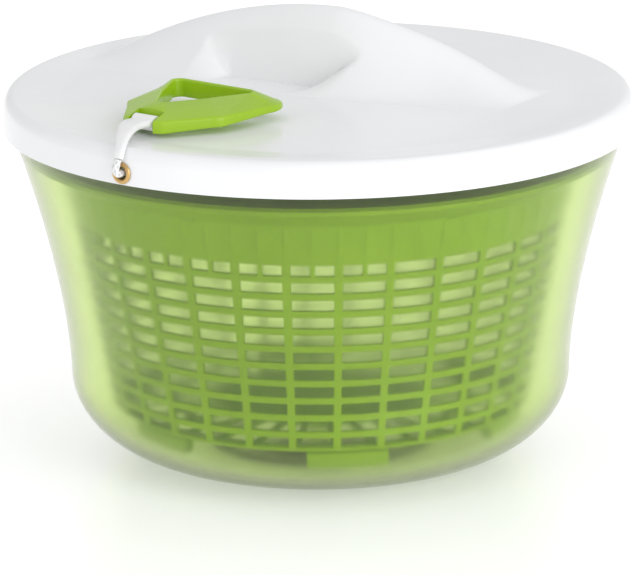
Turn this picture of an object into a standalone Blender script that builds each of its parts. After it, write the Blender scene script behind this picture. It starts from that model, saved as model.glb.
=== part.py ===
# Salad spinner with a pull cord, modelled in metres, +Z up.
# The origin is the centre of the footprint, +X is to the right and -Y is the front.
# The basket turns on a pip in the bowl, and the lid carries the cord drum, its
# return spring, a roller clutch and the drive disc that turns the basket.
import math

import bmesh
import bpy
from mathutils import Matrix, Vector

# Overall sizes
LID_RADIUS = 0.1320
LID_CREST_Z = 0.1570
LID_TOP_RISE = 0.0328
SKIRT_DEPTH = 0.0150
GAP = 0.0003
SLIDE_GAP = 0.0005

# Lid cover
LID_WALL = 0.0020
CREST_INSET = 0.0043
DISH_DEPTH = 0.0016
DISH_WIDTH = 0.0220
RIDGE_TURN = math.radians(31.6)
RIDGE_AHEAD = -0.0192
RIDGE_BEND = 0.0112
RIDGE_BEND_ALONG = 0.0600
RIDGE_LEFT_HALF = 0.1165
RIDGE_RIGHT_HALF = 0.0835
RIDGE_RIGHT_POWER = 1.41
RIDGE_FRONT_REACH = 0.0297
RIDGE_BACK_REACH = 0.0252
RIDGE_EDGE_FADE = 0.0220
POCKET_BACK_AHEAD = -0.0085
POCKET_LEFT = -0.0585
POCKET_RIGHT = 0.0175
POCKET_LEFT_SPLAY = 0.39
POCKET_RIGHT_SPLAY = 0.88
POCKET_BACK_RUN = 0.0025
POCKET_LEFT_RUN = 0.0115
POCKET_RIGHT_RUN = 0.0160
LID_SPOKES = 48
LID_RING_STEP = 0.0100
LID_SHOULDER_SHARE = 0.4
LID_POST_RADIUS = 0.0028
LID_POST_LEFT = -0.0380
LID_POST_RIGHT = 0.0300

# Bowl
BOWL_WALL = 0.0022
BOWL_FLOOR = 0.0030
BOWL_BASE_RADIUS = 0.0550
BOWL_WAIST_RADIUS = 0.1051
BOWL_WAIST_Z = 0.0380
BOWL_RIM_OVERLAP = 0.0028
BOWL_RIM_CLEARANCE = 0.0005
BOWL_FLARE_POWER = 1.55
BOWL_LIFT = 0.0008
PIVOT_RADIUS = 0.0042
FOOT_RING_RADIUS = 0.0440
FOOT_RING_WIDTH = 0.0060
FOOT_RING_DEPTH = 0.0011

# Basket
BASKET_WALL = 0.0018
BASKET_FLOOR_Z = 0.0230
BASKET_FLOOR_RADIUS = 0.0870
BASKET_TAPER = 0.197
BASKET_RIM_BELOW = 0.0108
BASKET_RIM_RADIUS = 0.1195
BASKET_RIM_LIP = 0.0030
BASKET_SHOULDER = 0.0035
BASKET_CORNER = 0.0012
FLOOR_SLOT_INSET = 0.0080
FLOOR_SLOT_LENGTH = 0.0340
SLOT_COLUMNS = 30
SLOT_TURN = math.radians(4.3)
RIB_ANGLE = math.radians(2.0)
SLOT_ROWS = 11
SLOT_HEIGHT = 0.00485
SLOT_BAR = 0.0029
SLOT_FIRST_Z = 0.0249
FLUTE_HEIGHT = 0.0150
FEET = 6
FOOT_TURN = math.radians(7.5)
FOOT_ANGLE = math.radians(23)
FOOT_HEIGHT = 0.0070
FOOT_INNER = 0.0800
FOOT_OUTER = 0.0855
SOCKET_WALL = 0.0030
SOCKET_DEPTH = 0.0120
LUGS = 6
LUG_WIDTH = 0.0070
LUG_BELOW_RIM = 0.0028
LUG_HEIGHT = 0.0077

# Inner lid plate
PLATE_BELOW_CREST = 0.0071
PLATE_THICKNESS = 0.0020
PLATE_RIM_WALL = 0.0035
PLATE_BOSS_RADIUS = 0.0050
PLATE_BOSS_DEPTH = 0.0050

# Screws
SCREW_SHANK = 0.0014
SCREW_HEAD = 0.0028
SCREW_HEAD_HEIGHT = 0.0018
CASE_SCREWS = 3
HUB_SCREWS = 3

# Mechanism case
CASE_CLEARANCE = 0.0035
CASE_WALL = 0.0020
CASE_DEPTH = 0.0154
CASE_FLOOR = 0.0018
CASE_LUG_RADIUS = 0.0052
CASE_LUG_OUTSIDE = 0.0047
CASE_BOSS_RADIUS = 0.0038
CASE_LUG_RISE = 0.0063
CASE_LUG_HEIGHT = 0.0022

# Axle, drum, clutch, hub and drive disc
AXLE_RADIUS = 0.0025
AXLE_BORE_RADIUS = 0.0016
AXLE_BORE_DEPTH = 0.0080
WASHER_RADIUS = 0.0062
WASHER_HEIGHT = 0.0010
HUB_RADIUS = 0.0080
HUB_FLANGE_RADIUS = 0.0180
HUB_FLANGE_HEIGHT = 0.0025
HUB_SCREW_REACH = 0.0130
DRUM_RADIUS = 0.0300
DRUM_CORE_RADIUS = 0.0180
DRUM_CORD_BELOW_PLATE = 0.0039
DRUM_GROOVE = 0.0048
DRUM_FLANGE = 0.0010
DRUM_NOSE_RADIUS = 0.0150
CLUTCH_BORE_RADIUS = 0.0126
ROLLER_RADIUS = 0.0020
ROLLERS = 3
COIL_INSIDE_DRUM = 0.0035
SPRING_INNER = 0.0170
SPRING_CLEARANCE = 0.0020
SPRING_TURNS = 4
SPRING_STRIP = 0.0006
DISC_RADIUS = 0.1080
DISC_THICKNESS = 0.0028
DISC_NOTCH_DEPTH = 0.0070

# Cord, eyelet, clip and handle
PULL_TURN = math.radians(232.8)
CORD_RADIUS = 0.0015
CORD_END_SHARE = 0.4
EYELET_ABOVE_SKIRT = 0.0050
EYELET_BORE = 0.0026
EYELET_BARREL = 0.0034
EYELET_FLANGE = 0.0046
PIN_INSIDE_RIM = 0.0305
PIN_ASIDE = -0.0115
PIN_ABOVE_CREST = 0.0036
PIN_RADIUS = 0.0018
CLIP_BARREL = 0.0032
CLIP_WIDTH = 0.0108
CLIP_CLEARANCE = 0.0012
CLIP_END_WIDTH = 0.0046
CLIP_THICKNESS = 0.0032
HANDLE_UNDERCUT = math.radians(3.0)
HANDLE_CLEARANCE = 0.0002
HANDLE_OUTER = ((0.0110, 0.0, 0.0165), (0.0260, 0.0135, 0.0135), (0.0490, 0.0215, 0.0090))
HANDLE_HOLE = ((0.0125, 0.0, 0.0030), (0.0270, 0.0090, 0.0030), (0.0440, 0.0170, 0.0030))
HANDLE_EDGE_HEIGHT = 0.0056
HANDLE_CROWN = 0.0048
HANDLE_EDGE = 0.0008
HANDLE_PIN_SEAT = 0.0020
NOTCH_CUTTER_HEIGHT = 0.0300
EYELET_CUTTER_REACH = 0.0060
GATE_LENGTH = 0.0120
COVER_SCREW_LENGTH = 0.0120
DRIVE_RIM_THICKNESS = 0.0016
CLUTCH_SEAT_RISE = 0.0010

# Sizes that follow from the ones above
PULL = Vector((math.cos(PULL_TURN), math.sin(PULL_TURN), 0.0))
SIDE = Vector((-PULL.y, PULL.x, 0.0))
LID_CREST_RADIUS = LID_RADIUS - CREST_INSET
SKIRT_BOTTOM_Z = LID_CREST_Z - SKIRT_DEPTH
BOWL_RIM_Z = SKIRT_BOTTOM_Z + BOWL_RIM_OVERLAP
BASKET_RIM_Z = BOWL_RIM_Z - BASKET_RIM_BELOW
LUG_TOP_Z = BASKET_RIM_Z - LUG_BELOW_RIM
LUG_BOTTOM_Z = LUG_TOP_Z - LUG_HEIGHT
PLATE_Z = LID_CREST_Z - PLATE_BELOW_CREST
DRUM_CORD_Z = PLATE_Z - DRUM_CORD_BELOW_PLATE
COIL_RADIUS = DRUM_RADIUS - COIL_INSIDE_DRUM
CASE_RADIUS = DRUM_RADIUS + CASE_CLEARANCE + CASE_WALL
CASE_FLOOR_Z = PLATE_Z - CASE_DEPTH
CASE_LUG_REACH = CASE_RADIUS + CASE_LUG_OUTSIDE
CASE_LUG_Z = CASE_FLOOR_Z + CASE_LUG_RISE
SPRING_OUTER = CASE_RADIUS - CASE_WALL - SPRING_CLEARANCE
EYELET_Z = SKIRT_BOTTOM_Z + EYELET_ABOVE_SKIRT
PIN_REACH = LID_RADIUS - PIN_INSIDE_RIM
PIN_Z = LID_CREST_Z + PIN_ABOVE_CREST
HANDLE_UNDERSIDE_Z = LID_CREST_Z + HANDLE_CLEARANCE
PLATE_TOP_Z = PLATE_Z + PLATE_THICKNESS
DRUM_TOP_Z = DRUM_CORD_Z + DRUM_GROOVE / 2 + DRUM_FLANGE
DRUM_BOTTOM_Z = DRUM_CORD_Z - DRUM_GROOVE / 2 - DRUM_FLANGE
HUB_FLANGE_Z = CASE_FLOOR_Z - SLIDE_GAP - HUB_FLANGE_HEIGHT
DISC_Z = HUB_FLANGE_Z - GAP - DISC_THICKNESS
WASHER_Z = DISC_Z - GAP - WASHER_HEIGHT
AXLE_BOTTOM_Z = WASHER_Z + GAP
NOTCH_INNER = DISC_RADIUS - DISC_NOTCH_DEPTH
BASKET_SLOT_STEP = SLOT_HEIGHT + SLOT_BAR
FLUTE_BOTTOM_Z = SLOT_FIRST_Z + SLOT_ROWS * BASKET_SLOT_STEP
FLUTE_TOP_Z = FLUTE_BOTTOM_Z + FLUTE_HEIGHT

COLOURS = {
    "apple_green": ((0.36, 0.62, 0.03, 1.0), 0.35, 0.0),
    "frosted_clear": ((0.72, 0.82, 0.62, 1.0), 0.45, 0.0),
    "gloss_white": ((0.90, 0.91, 0.93, 1.0), 0.22, 0.0),
    "inner_white": ((0.82, 0.83, 0.84, 1.0), 0.45, 0.0),
    "grey_acetal": ((0.55, 0.56, 0.57, 1.0), 0.40, 0.0),
    "steel": ((0.60, 0.60, 0.61, 1.0), 0.30, 1.0),
    "brass": ((0.75, 0.55, 0.30, 1.0), 0.30, 1.0),
    "white_cord": ((0.88, 0.88, 0.86, 1.0), 0.80, 0.0),
    "grey_rubber": ((0.30, 0.31, 0.31, 1.0), 0.75, 0.0),
}


def clear_scene():
    for item in list(bpy.data.objects):
        bpy.data.objects.remove(item, do_unlink=True)


def make_collection(name):
    group = bpy.data.collections.new(name)
    bpy.context.scene.collection.children.link(group)
    return group


def clamp(value):
    return min(1.0, max(0.0, value))


def smooth(value):
    value = clamp(value)
    return value * value * (3.0 - 2.0 * value)


def polar(radius, angle, z):
    return Vector((radius * math.cos(angle), radius * math.sin(angle), z))


def finish_material(name):
    if name in bpy.data.materials:
        return bpy.data.materials[name]
    colour, roughness, metallic = COLOURS[name]
    material = bpy.data.materials.new(name)
    material.use_nodes = True
    shader = material.node_tree.nodes["Principled BSDF"]
    shader.inputs["Base Color"].default_value = colour
    shader.inputs["Roughness"].default_value = roughness
    shader.inputs["Metallic"].default_value = metallic
    return material


def add_object(name, mesh, group, finish=None, parent=None):
    item = bpy.data.objects.new(name, mesh)
    group.objects.link(item)
    if finish:
        mesh.materials.clear()
        mesh.materials.append(finish_material(finish))
    if parent:
        item.parent = parent
    return item


def shade_round(mesh):
    mesh.shade_smooth()
    mesh.set_sharp_from_angle(angle=math.radians(35))


def mesh_from(form, name):
    mesh = bpy.data.meshes.new(name)
    form.to_mesh(mesh)
    form.free()
    return mesh


def baked(item):
    # The object's evaluated mesh in place of its modifiers.
    bpy.context.view_layer.update()
    graph = bpy.context.evaluated_depsgraph_get()
    mesh = bpy.data.meshes.new_from_object(item.evaluated_get(graph), depsgraph=graph)
    item.modifiers.clear()
    item.data = mesh
    return item


def turned(name, profile, group, finish=None, steps=48, parent=None, place=(0, 0, 0)):
    # A closed profile of (radius, z) points, down the outer side and back up the inner one.
    form = bmesh.new()
    points = [form.verts.new((radius, 0.0, z)) for radius, z in profile]
    for start, end in zip(points, points[1:] + points[:1]):
        if start.co.x > 1e-6 or end.co.x > 1e-6:
            form.edges.new((start, end))
    item = add_object(name, mesh_from(form, name), group, finish, parent)
    item.location = place
    screw = item.modifiers.new("turn", "SCREW")
    screw.axis = "Z"
    screw.steps = steps
    screw.render_steps = steps
    screw.use_merge_vertices = True
    screw.merge_threshold = 0.00001
    screw.use_normal_calculate = False
    baked(item)
    shade_round(item.data)
    return item


def ring_profile(outer, inner, bottom, top):
    return [(outer, top), (outer, bottom), (inner, bottom), (inner, top)]


def cylinder(name, radius, bottom, top, group, finish=None, place=(0, 0), sides=32):
    form = bmesh.new()
    bmesh.ops.create_cone(form, cap_ends=True, segments=sides, radius1=radius, radius2=radius,
                          depth=top - bottom)
    bmesh.ops.translate(form, verts=form.verts, vec=(0, 0, (top + bottom) / 2))
    item = add_object(name, mesh_from(form, name), group, finish)
    item.location = (place[0], place[1], 0)
    shade_round(item.data)
    return item


def box(name, size, centre, group, turn=0.0):
    form = bmesh.new()
    bmesh.ops.create_cube(form, size=1.0)
    bmesh.ops.scale(form, verts=form.verts, vec=size)
    item = add_object(name, mesh_from(form, name), group)
    item.location = centre
    item.rotation_euler = (0, 0, turn)
    return item


def cut(item, tool, operation="DIFFERENCE"):
    tool.hide_render = True
    tool.display_type = "WIRE"
    boolean = item.modifiers.new(operation.lower(), "BOOLEAN")
    boolean.operation = operation
    boolean.solver = "EXACT"
    boolean.object = tool
    baked(item)
    return item


def bowl_radius(z):
    # Outer radius above the waist, where the wall flares out to the rim.
    rim = LID_RADIUS - LID_WALL - BOWL_RIM_CLEARANCE
    rise = (z - BOWL_WAIST_Z) / (BOWL_RIM_Z - BOWL_WAIST_Z)
    return BOWL_WAIST_RADIUS + (rim - BOWL_WAIST_RADIUS) * rise ** BOWL_FLARE_POWER


def bowl_side(steps_low=6, steps_high=5):
    # Points from the rim down to the base.
    side = []
    for index in range(steps_high):
        z = BOWL_RIM_Z + (BOWL_WAIST_Z - BOWL_RIM_Z) * index / steps_high
        side.append((bowl_radius(z), z))
    for index in range(steps_low + 1):
        angle = math.pi / 2 * index / steps_low
        radius = BOWL_BASE_RADIUS + (BOWL_WAIST_RADIUS - BOWL_BASE_RADIUS) * math.cos(angle)
        side.append((radius, BOWL_LIFT + (BOWL_WAIST_Z - BOWL_LIFT) * (1 - math.sin(angle))))
    return side


def make_bowl(group):
    outer = bowl_side()
    floor_z = BOWL_LIFT + BOWL_FLOOR
    inner = [(radius - BOWL_WALL, z) for radius, z in outer if z > BOWL_WAIST_Z]
    for index in range(6):
        angle = math.pi / 2 * index / 5
        radius = BOWL_BASE_RADIUS + (BOWL_WAIST_RADIUS - BOWL_WALL - BOWL_BASE_RADIUS) * math.cos(angle)
        inner.append((radius, floor_z + (BOWL_WAIST_Z - floor_z) * (1 - math.sin(angle))))
    groove = FOOT_RING_DEPTH + GAP
    groove_outer = FOOT_RING_RADIUS + FOOT_RING_WIDTH / 2 + GAP
    groove_inner = FOOT_RING_RADIUS - FOOT_RING_WIDTH / 2 - GAP
    under = [
        (groove_outer, BOWL_LIFT), (groove_outer, BOWL_LIFT + groove),
        (groove_inner, BOWL_LIFT + groove), (groove_inner, BOWL_LIFT), (0.0, BOWL_LIFT),
    ]
    pip_top = BASKET_FLOOR_Z - SLIDE_GAP
    pip = [
        (0.0, pip_top), (PIVOT_RADIUS * 0.55, pip_top), (PIVOT_RADIUS * 0.9, pip_top - 0.002),
        (PIVOT_RADIUS, pip_top - 0.005), (PIVOT_RADIUS, floor_z + 0.004), (PIVOT_RADIUS + 0.003, floor_z),
    ]
    profile = outer + under + pip + list(reversed(inner))
    return turned("bowl", profile, group, "frosted_clear")


def make_foot_ring(group):
    outer = FOOT_RING_RADIUS + FOOT_RING_WIDTH / 2
    inner = FOOT_RING_RADIUS - FOOT_RING_WIDTH / 2
    top = BOWL_LIFT + FOOT_RING_DEPTH
    return turned("foot_ring", ring_profile(outer, inner, 0.0, top), group, "grey_rubber", steps=36)


def basket_radius(z):
    # Outer radius of the basket wall, straight up to the flutes and then flared to the rim.
    straight = BASKET_FLOOR_RADIUS + BASKET_TAPER * (z - BASKET_FLOOR_Z)
    if z <= FLUTE_TOP_Z:
        return straight
    rise = (z - FLUTE_TOP_Z) / (BASKET_RIM_Z - FLUTE_TOP_Z)
    return straight + (BASKET_RIM_RADIUS - straight) * smooth(0.25 + 0.75 * rise)


def basket_lines():
    # (radius, z) from the rim down the wall and in to the middle.
    lines = [(BASKET_RIM_RADIUS + BASKET_RIM_LIP, BASKET_RIM_Z), (BASKET_RIM_RADIUS, BASKET_RIM_Z)]
    for z in (FLUTE_TOP_Z + BASKET_SHOULDER, FLUTE_TOP_Z):
        lines.append((basket_radius(z), z))
    for row in reversed(range(SLOT_ROWS)):
        low = SLOT_FIRST_Z + row * BASKET_SLOT_STEP
        lines.append((basket_radius(low + SLOT_HEIGHT), low + SLOT_HEIGHT))
        lines.append((basket_radius(low), low))
    lines.append((BASKET_FLOOR_RADIUS - BASKET_CORNER, BASKET_FLOOR_Z + BASKET_CORNER / 3))
    lines.append((BASKET_FLOOR_RADIUS - FLOOR_SLOT_INSET, BASKET_FLOOR_Z))
    lines.append((BASKET_FLOOR_RADIUS - FLOOR_SLOT_INSET - FLOOR_SLOT_LENGTH, BASKET_FLOOR_Z))
    lines.append((PIVOT_RADIUS + SLIDE_GAP + SOCKET_WALL, BASKET_FLOOR_Z))
    return lines


def basket_shell():
    # Each row of faces lies between two lines; the slots are the faces left out.
    form = bmesh.new()
    pitch = 2 * math.pi / SLOT_COLUMNS
    front = -math.pi / 2
    rings = []
    for radius, z in basket_lines():
        ring = []
        for column in range(SLOT_COLUMNS):
            centre = front + SLOT_TURN + column * pitch
            half = RIB_ANGLE / 2
            if z == BASKET_FLOOR_Z:
                half = min(half * BASKET_FLOOR_RADIUS / radius, pitch * 0.2)
            for angle in (centre - half, centre + half):
                ring.append(form.verts.new(polar(radius, angle, z)))
        rings.append(ring)
    count = 2 * SLOT_COLUMNS
    centre_point = form.verts.new((0, 0, BASKET_FLOOR_Z))
    lines_above_slots = 4
    slots = {lines_above_slots + 2 * row for row in range(SLOT_ROWS)}
    slots.add(lines_above_slots + 2 * SLOT_ROWS + 1)
    for row in range(len(rings) - 1):
        for index in range(count):
            if row in slots and index % 2 == 1:
                continue
            upper, lower = rings[row], rings[row + 1]
            after = (index + 1) % count
            form.faces.new((upper[index], lower[index], lower[after], upper[after]))
    last = rings[-1]
    for index in range(count):
        form.faces.new((last[index], centre_point, last[(index + 1) % count]))
    return form


def arc_block(name, inner, outer, bottom, top, angle, width, group, steps=5):
    # A block bent round the axis; inner and outer are (bottom, top) radii.
    form = bmesh.new()
    rows = []
    for index in range(steps + 1):
        turn = angle + width * (index / steps - 0.5)
        corners = ((outer[0], bottom), (outer[1], top), (inner[1], top), (inner[0], bottom))
        rows.append([form.verts.new(polar(radius, turn, z)) for radius, z in corners])
    for near, far in zip(rows, rows[1:]):
        for side in range(4):
            after = (side + 1) % 4
            form.faces.new((near[side], far[side], far[after], near[after]))
    form.faces.new(rows[0])
    form.faces.new(list(reversed(rows[-1])))
    bmesh.ops.recalc_face_normals(form, faces=form.faces)
    return add_object(name, mesh_from(form, name), group)


def make_basket(group, tools):
    basket = add_object("basket", mesh_from(basket_shell(), "basket"), group, "apple_green")
    wall = basket.modifiers.new("wall", "SOLIDIFY")
    wall.thickness = BASKET_WALL
    wall.offset = -1.0
    baked(basket)
    inside = BASKET_WALL / 2
    for index in range(FEET):
        angle = -math.pi / 2 + FOOT_TURN + index * 2 * math.pi / FEET
        foot = arc_block(f"foot_{index + 1}", (FOOT_INNER, FOOT_INNER), (FOOT_OUTER, FOOT_OUTER),
                         BASKET_FLOOR_Z - FOOT_HEIGHT, BASKET_FLOOR_Z + inside, angle, FOOT_ANGLE, tools)
        cut(basket, foot, "UNION")
    for index in range(LUGS):
        angle = index * 2 * math.pi / LUGS
        inner = NOTCH_INNER + SLIDE_GAP
        outer = (basket_radius(LUG_BOTTOM_Z) - inside, basket_radius(LUG_TOP_Z) - inside)
        lug = arc_block(f"lug_{index + 1}", (inner, inner), outer, LUG_BOTTOM_Z, LUG_TOP_Z, angle,
                        LUG_WIDTH / inner, tools, steps=1)
        cut(basket, lug, "UNION")
    bore = PIVOT_RADIUS + SLIDE_GAP
    socket = turned("pivot_socket", ring_profile(bore + SOCKET_WALL, bore, BASKET_FLOOR_Z - SOCKET_DEPTH,
                                                 BASKET_FLOOR_Z + inside), tools, steps=24)
    cut(basket, socket, "UNION")
    shade_round(basket.data)
    return basket


def ridge_place(along, ahead):
    # X and Y of a place given along the ridge and ahead of the middle.
    x = along * math.cos(RIDGE_TURN) - ahead * math.sin(RIDGE_TURN)
    y = -along * math.sin(RIDGE_TURN) - ahead * math.cos(RIDGE_TURN)
    return x, y


def ridge_coordinates(x, y):
    along = x * math.cos(RIDGE_TURN) - y * math.sin(RIDGE_TURN)
    ahead = -x * math.sin(RIDGE_TURN) - y * math.cos(RIDGE_TURN)
    return along, ahead


def ridge_line(along):
    # How far ahead of the middle the crest runs; it bends back towards its right end.
    return RIDGE_AHEAD - RIDGE_BEND * smooth(along / RIDGE_BEND_ALONG)


def hump_height(x, y):
    along, ahead = ridge_coordinates(x, y)
    if along > 0:
        crest = LID_TOP_RISE * max(0.0, 1 - (along / RIDGE_RIGHT_HALF) ** RIDGE_RIGHT_POWER)
    else:
        crest = LID_TOP_RISE * max(0.0, 1 - (along / RIDGE_LEFT_HALF) ** 2)
    beyond = ahead - ridge_line(along)
    reach = RIDGE_FRONT_REACH if beyond > 0 else RIDGE_BACK_REACH
    fall = clamp(abs(beyond) / reach)
    edge = smooth((LID_CREST_RADIUS - math.hypot(x, y)) / RIDGE_EDGE_FADE)
    return crest * math.cos(math.pi / 2 * fall) ** 2 * edge


def pocket_depth(x, y):
    # 1 on the floor of the finger pocket, 0 outside it, with sloping walls between.
    along, ahead = ridge_coordinates(x, y)
    behind = ahead - POCKET_BACK_AHEAD
    left = along - POCKET_LEFT + POCKET_LEFT_SPLAY * behind
    right = POCKET_RIGHT - POCKET_RIGHT_SPLAY * behind - along
    return clamp(behind / POCKET_BACK_RUN) * clamp(left / POCKET_LEFT_RUN) * clamp(right / POCKET_RIGHT_RUN)


def lid_height(x, y):
    inset = LID_CREST_RADIUS - math.hypot(x, y)
    base = LID_CREST_Z - DISH_DEPTH * smooth(inset / DISH_WIDTH)
    return base + hump_height(x, y) * (1 - pocket_depth(x, y))


def lid_rings():
    radii = []
    radius = LID_RING_STEP
    while radius < LID_CREST_RADIUS - LID_RING_STEP / 2:
        radii.append(radius)
        radius += LID_RING_STEP
    return radii + [LID_CREST_RADIUS]


def lid_shell():
    form = bmesh.new()
    turns = [2 * math.pi * index / LID_SPOKES for index in range(LID_SPOKES)]
    rings = []
    for radius in lid_rings():
        places = [polar(radius, turn, 0.0) for turn in turns]
        rings.append([form.verts.new((p.x, p.y, lid_height(p.x, p.y))) for p in places])
    drop = SKIRT_DEPTH * LID_SHOULDER_SHARE
    for index in (1, 2, 3):
        angle = math.pi / 6 * index
        radius = LID_CREST_RADIUS + CREST_INSET * math.sin(angle)
        z = LID_CREST_Z - drop * (1 - math.cos(angle))
        rings.append([form.verts.new(polar(radius, turn, z)) for turn in turns])
    rings.append([form.verts.new(polar(LID_RADIUS, turn, SKIRT_BOTTOM_Z)) for turn in turns])
    middle = form.verts.new((0, 0, lid_height(0, 0)))
    for inner, outer in zip(rings, rings[1:]):
        for index in range(LID_SPOKES):
            after = (index + 1) % LID_SPOKES
            form.faces.new((inner[index], outer[index], outer[after], inner[after]))
    for index in range(LID_SPOKES):
        form.faces.new((middle, rings[0][index], rings[0][(index + 1) % LID_SPOKES]))
    return form


def cover_post_places():
    # The two long posts stand under the crest, clear of the mechanism case.
    return [ridge_place(along, ridge_line(along)) for along in (LID_POST_LEFT, LID_POST_RIGHT)]


def post_top(x, y):
    around = [polar(LID_POST_RADIUS, math.pi / 4 * index, 0) for index in range(8)]
    return min(lid_height(x + step.x, y + step.y) for step in around) - LID_WALL * 0.3


def make_lid_cover(group, tools):
    lid = add_object("lid_cover", mesh_from(lid_shell(), "lid_cover"), group, "gloss_white")
    wall = lid.modifiers.new("wall", "SOLIDIFY")
    wall.thickness = LID_WALL
    wall.offset = -1.0
    baked(lid)
    for index, (x, y) in enumerate(cover_post_places()):
        post = cylinder(f"lid_post_{index + 1}", LID_POST_RADIUS, PLATE_TOP_Z + GAP, post_top(x, y),
                        tools, place=(x, y), sides=16)
        cut(lid, post, "UNION")
        bore = cylinder(f"lid_post_bore_{index + 1}", SCREW_SHANK + GAP, PLATE_Z, PLATE_TOP_Z + 0.014,
                        tools, place=(x, y), sides=12)
        cut(lid, bore)
    hole = cylinder("eyelet_hole", EYELET_BARREL + GAP, -EYELET_CUTTER_REACH, EYELET_CUTTER_REACH, tools, sides=24)
    aim(hole, PULL * LID_RADIUS + Vector((0, 0, EYELET_Z)))
    cut(lid, hole)
    shade_round(lid.data)
    return lid


def aim(item, place):
    # Turns a piece made along Z so that it points along the pull.
    item.matrix_world = Matrix.Translation(place) @ PULL.to_track_quat("Z", "Y").to_matrix().to_4x4()
    bpy.context.view_layer.update()


def tangent_point():
    # Where the cord leaves the coil on its way to the eyelet.
    radius = COIL_RADIUS + GAP + CORD_RADIUS
    angle = math.acos(radius / LID_RADIUS)
    return (PULL * math.cos(angle) + SIDE * math.sin(angle)) * radius


def cord_line():
    start = tangent_point() + Vector((0, 0, DRUM_CORD_Z))
    # the run stops short by more the thicker it is, because it comes in at a slant
    end = PULL * (LID_RADIUS - CORD_END_SHARE * CORD_RADIUS) + Vector((0, 0, EYELET_Z))
    return start, end


def cord_gate(name, radius, width, bottom, top, group):
    # A box across the cord's line where the line crosses a ring of this radius.
    start, end = cord_line()
    near, far = 0.0, 1.0
    for _ in range(30):
        middle = (near + far) / 2
        place = start.lerp(end, middle)
        if math.hypot(place.x, place.y) < radius:
            near = middle
        else:
            far = middle
    place = start.lerp(end, near)
    heading = end - start
    centre = (place.x, place.y, (bottom + top) / 2)
    return box(name, (GATE_LENGTH, width, top - bottom), centre, group, turn=math.atan2(heading.y, heading.x))


def case_places():
    turns = [PULL_TURN + math.pi / 3 + 2 * math.pi * index / CASE_SCREWS for index in range(CASE_SCREWS)]
    return [polar(CASE_LUG_REACH, turn, 0.0) for turn in turns]


def make_lid_plate(group, tools):
    outer = LID_RADIUS - LID_WALL - SLIDE_GAP
    inner = outer - PLATE_RIM_WALL
    foot = BOWL_RIM_Z + GAP
    bore = AXLE_RADIUS + GAP
    boss = PLATE_Z - PLATE_BOSS_DEPTH
    profile = [
        (outer, PLATE_TOP_Z), (outer, foot), (inner, foot), (inner, PLATE_Z),
        (PLATE_BOSS_RADIUS, PLATE_Z), (PLATE_BOSS_RADIUS, boss), (bore, boss), (bore, PLATE_TOP_Z),
    ]
    plate = turned("lid_plate", profile, group, "inner_white")
    seat = CASE_LUG_Z + CASE_LUG_HEIGHT + GAP
    for index, place in enumerate(case_places()):
        post = cylinder(f"case_post_{index + 1}", CASE_BOSS_RADIUS, seat, PLATE_Z + PLATE_THICKNESS / 2,
                        tools, place=(place.x, place.y), sides=16)
        cut(plate, post, "UNION")
        bore = cylinder(f"case_post_bore_{index + 1}", SCREW_SHANK + GAP, seat - 0.002, PLATE_Z + 0.0008,
                        tools, place=(place.x, place.y), sides=12)
        cut(plate, bore)
    for index, place in enumerate(cover_post_places()):
        hole = cylinder(f"plate_hole_{index + 1}", SCREW_SHANK + GAP, PLATE_Z - 0.002, PLATE_TOP_Z + 0.002,
                        tools, place=place, sides=12)
        cut(plate, hole)
    gate = cord_gate("plate_gate", outer - PLATE_RIM_WALL / 2, 2 * EYELET_BARREL, foot - 0.001,
                     EYELET_Z + CORD_RADIUS + SLIDE_GAP, tools)
    cut(plate, gate)
    shade_round(plate.data)
    return plate


def make_case(group, tools):
    top = PLATE_Z - GAP
    inner = CASE_RADIUS - CASE_WALL
    floor_top = CASE_FLOOR_Z + CASE_FLOOR
    hole = HUB_RADIUS + SLIDE_GAP
    profile = [
        (CASE_RADIUS, top), (CASE_RADIUS, CASE_FLOOR_Z), (hole, CASE_FLOOR_Z), (hole, floor_top),
        (inner, floor_top), (inner, top),
    ]
    case = turned("mech_case", profile, group, "inner_white", steps=36)
    for index, place in enumerate(case_places()):
        lug = cylinder(f"case_lug_{index + 1}", CASE_LUG_RADIUS, CASE_LUG_Z, CASE_LUG_Z + CASE_LUG_HEIGHT,
                       tools, place=(place.x, place.y), sides=20)
        bore = cylinder(f"case_lug_bore_{index + 1}", inner + CASE_WALL / 2, CASE_LUG_Z - 0.001,
                        CASE_LUG_Z + CASE_LUG_HEIGHT + 0.001, tools, sides=48)
        cut(lug, bore)
        cut(case, lug, "UNION")
        hole = cylinder(f"case_screw_hole_{index + 1}", SCREW_SHANK + GAP, CASE_LUG_Z - 0.001,
                        CASE_LUG_Z + CASE_LUG_HEIGHT + 0.001, tools, place=(place.x, place.y), sides=12)
        cut(case, hole)
    gate = cord_gate("case_gate", CASE_RADIUS - CASE_WALL / 2, DRUM_GROOVE, DRUM_CORD_Z - DRUM_GROOVE / 2,
                     top + 0.001, tools)
    cut(case, gate)
    shade_round(case.data)
    return case


def make_screw(name, head_top, shank_top, place, group, head=SCREW_HEAD, shank=SCREW_SHANK):
    # A pan head under its seat, with the shank pointing up.
    bottom = head_top - SCREW_HEAD_HEIGHT
    profile = [
        (0.0, shank_top), (shank * 0.6, shank_top), (shank, shank_top - 0.0006), (shank, head_top),
        (head, head_top), (head, bottom + 0.0005), (head * 0.75, bottom), (0.0, bottom),
    ]
    return turned(name, profile, group, "steel", steps=10, place=(place[0], place[1], 0))


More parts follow.
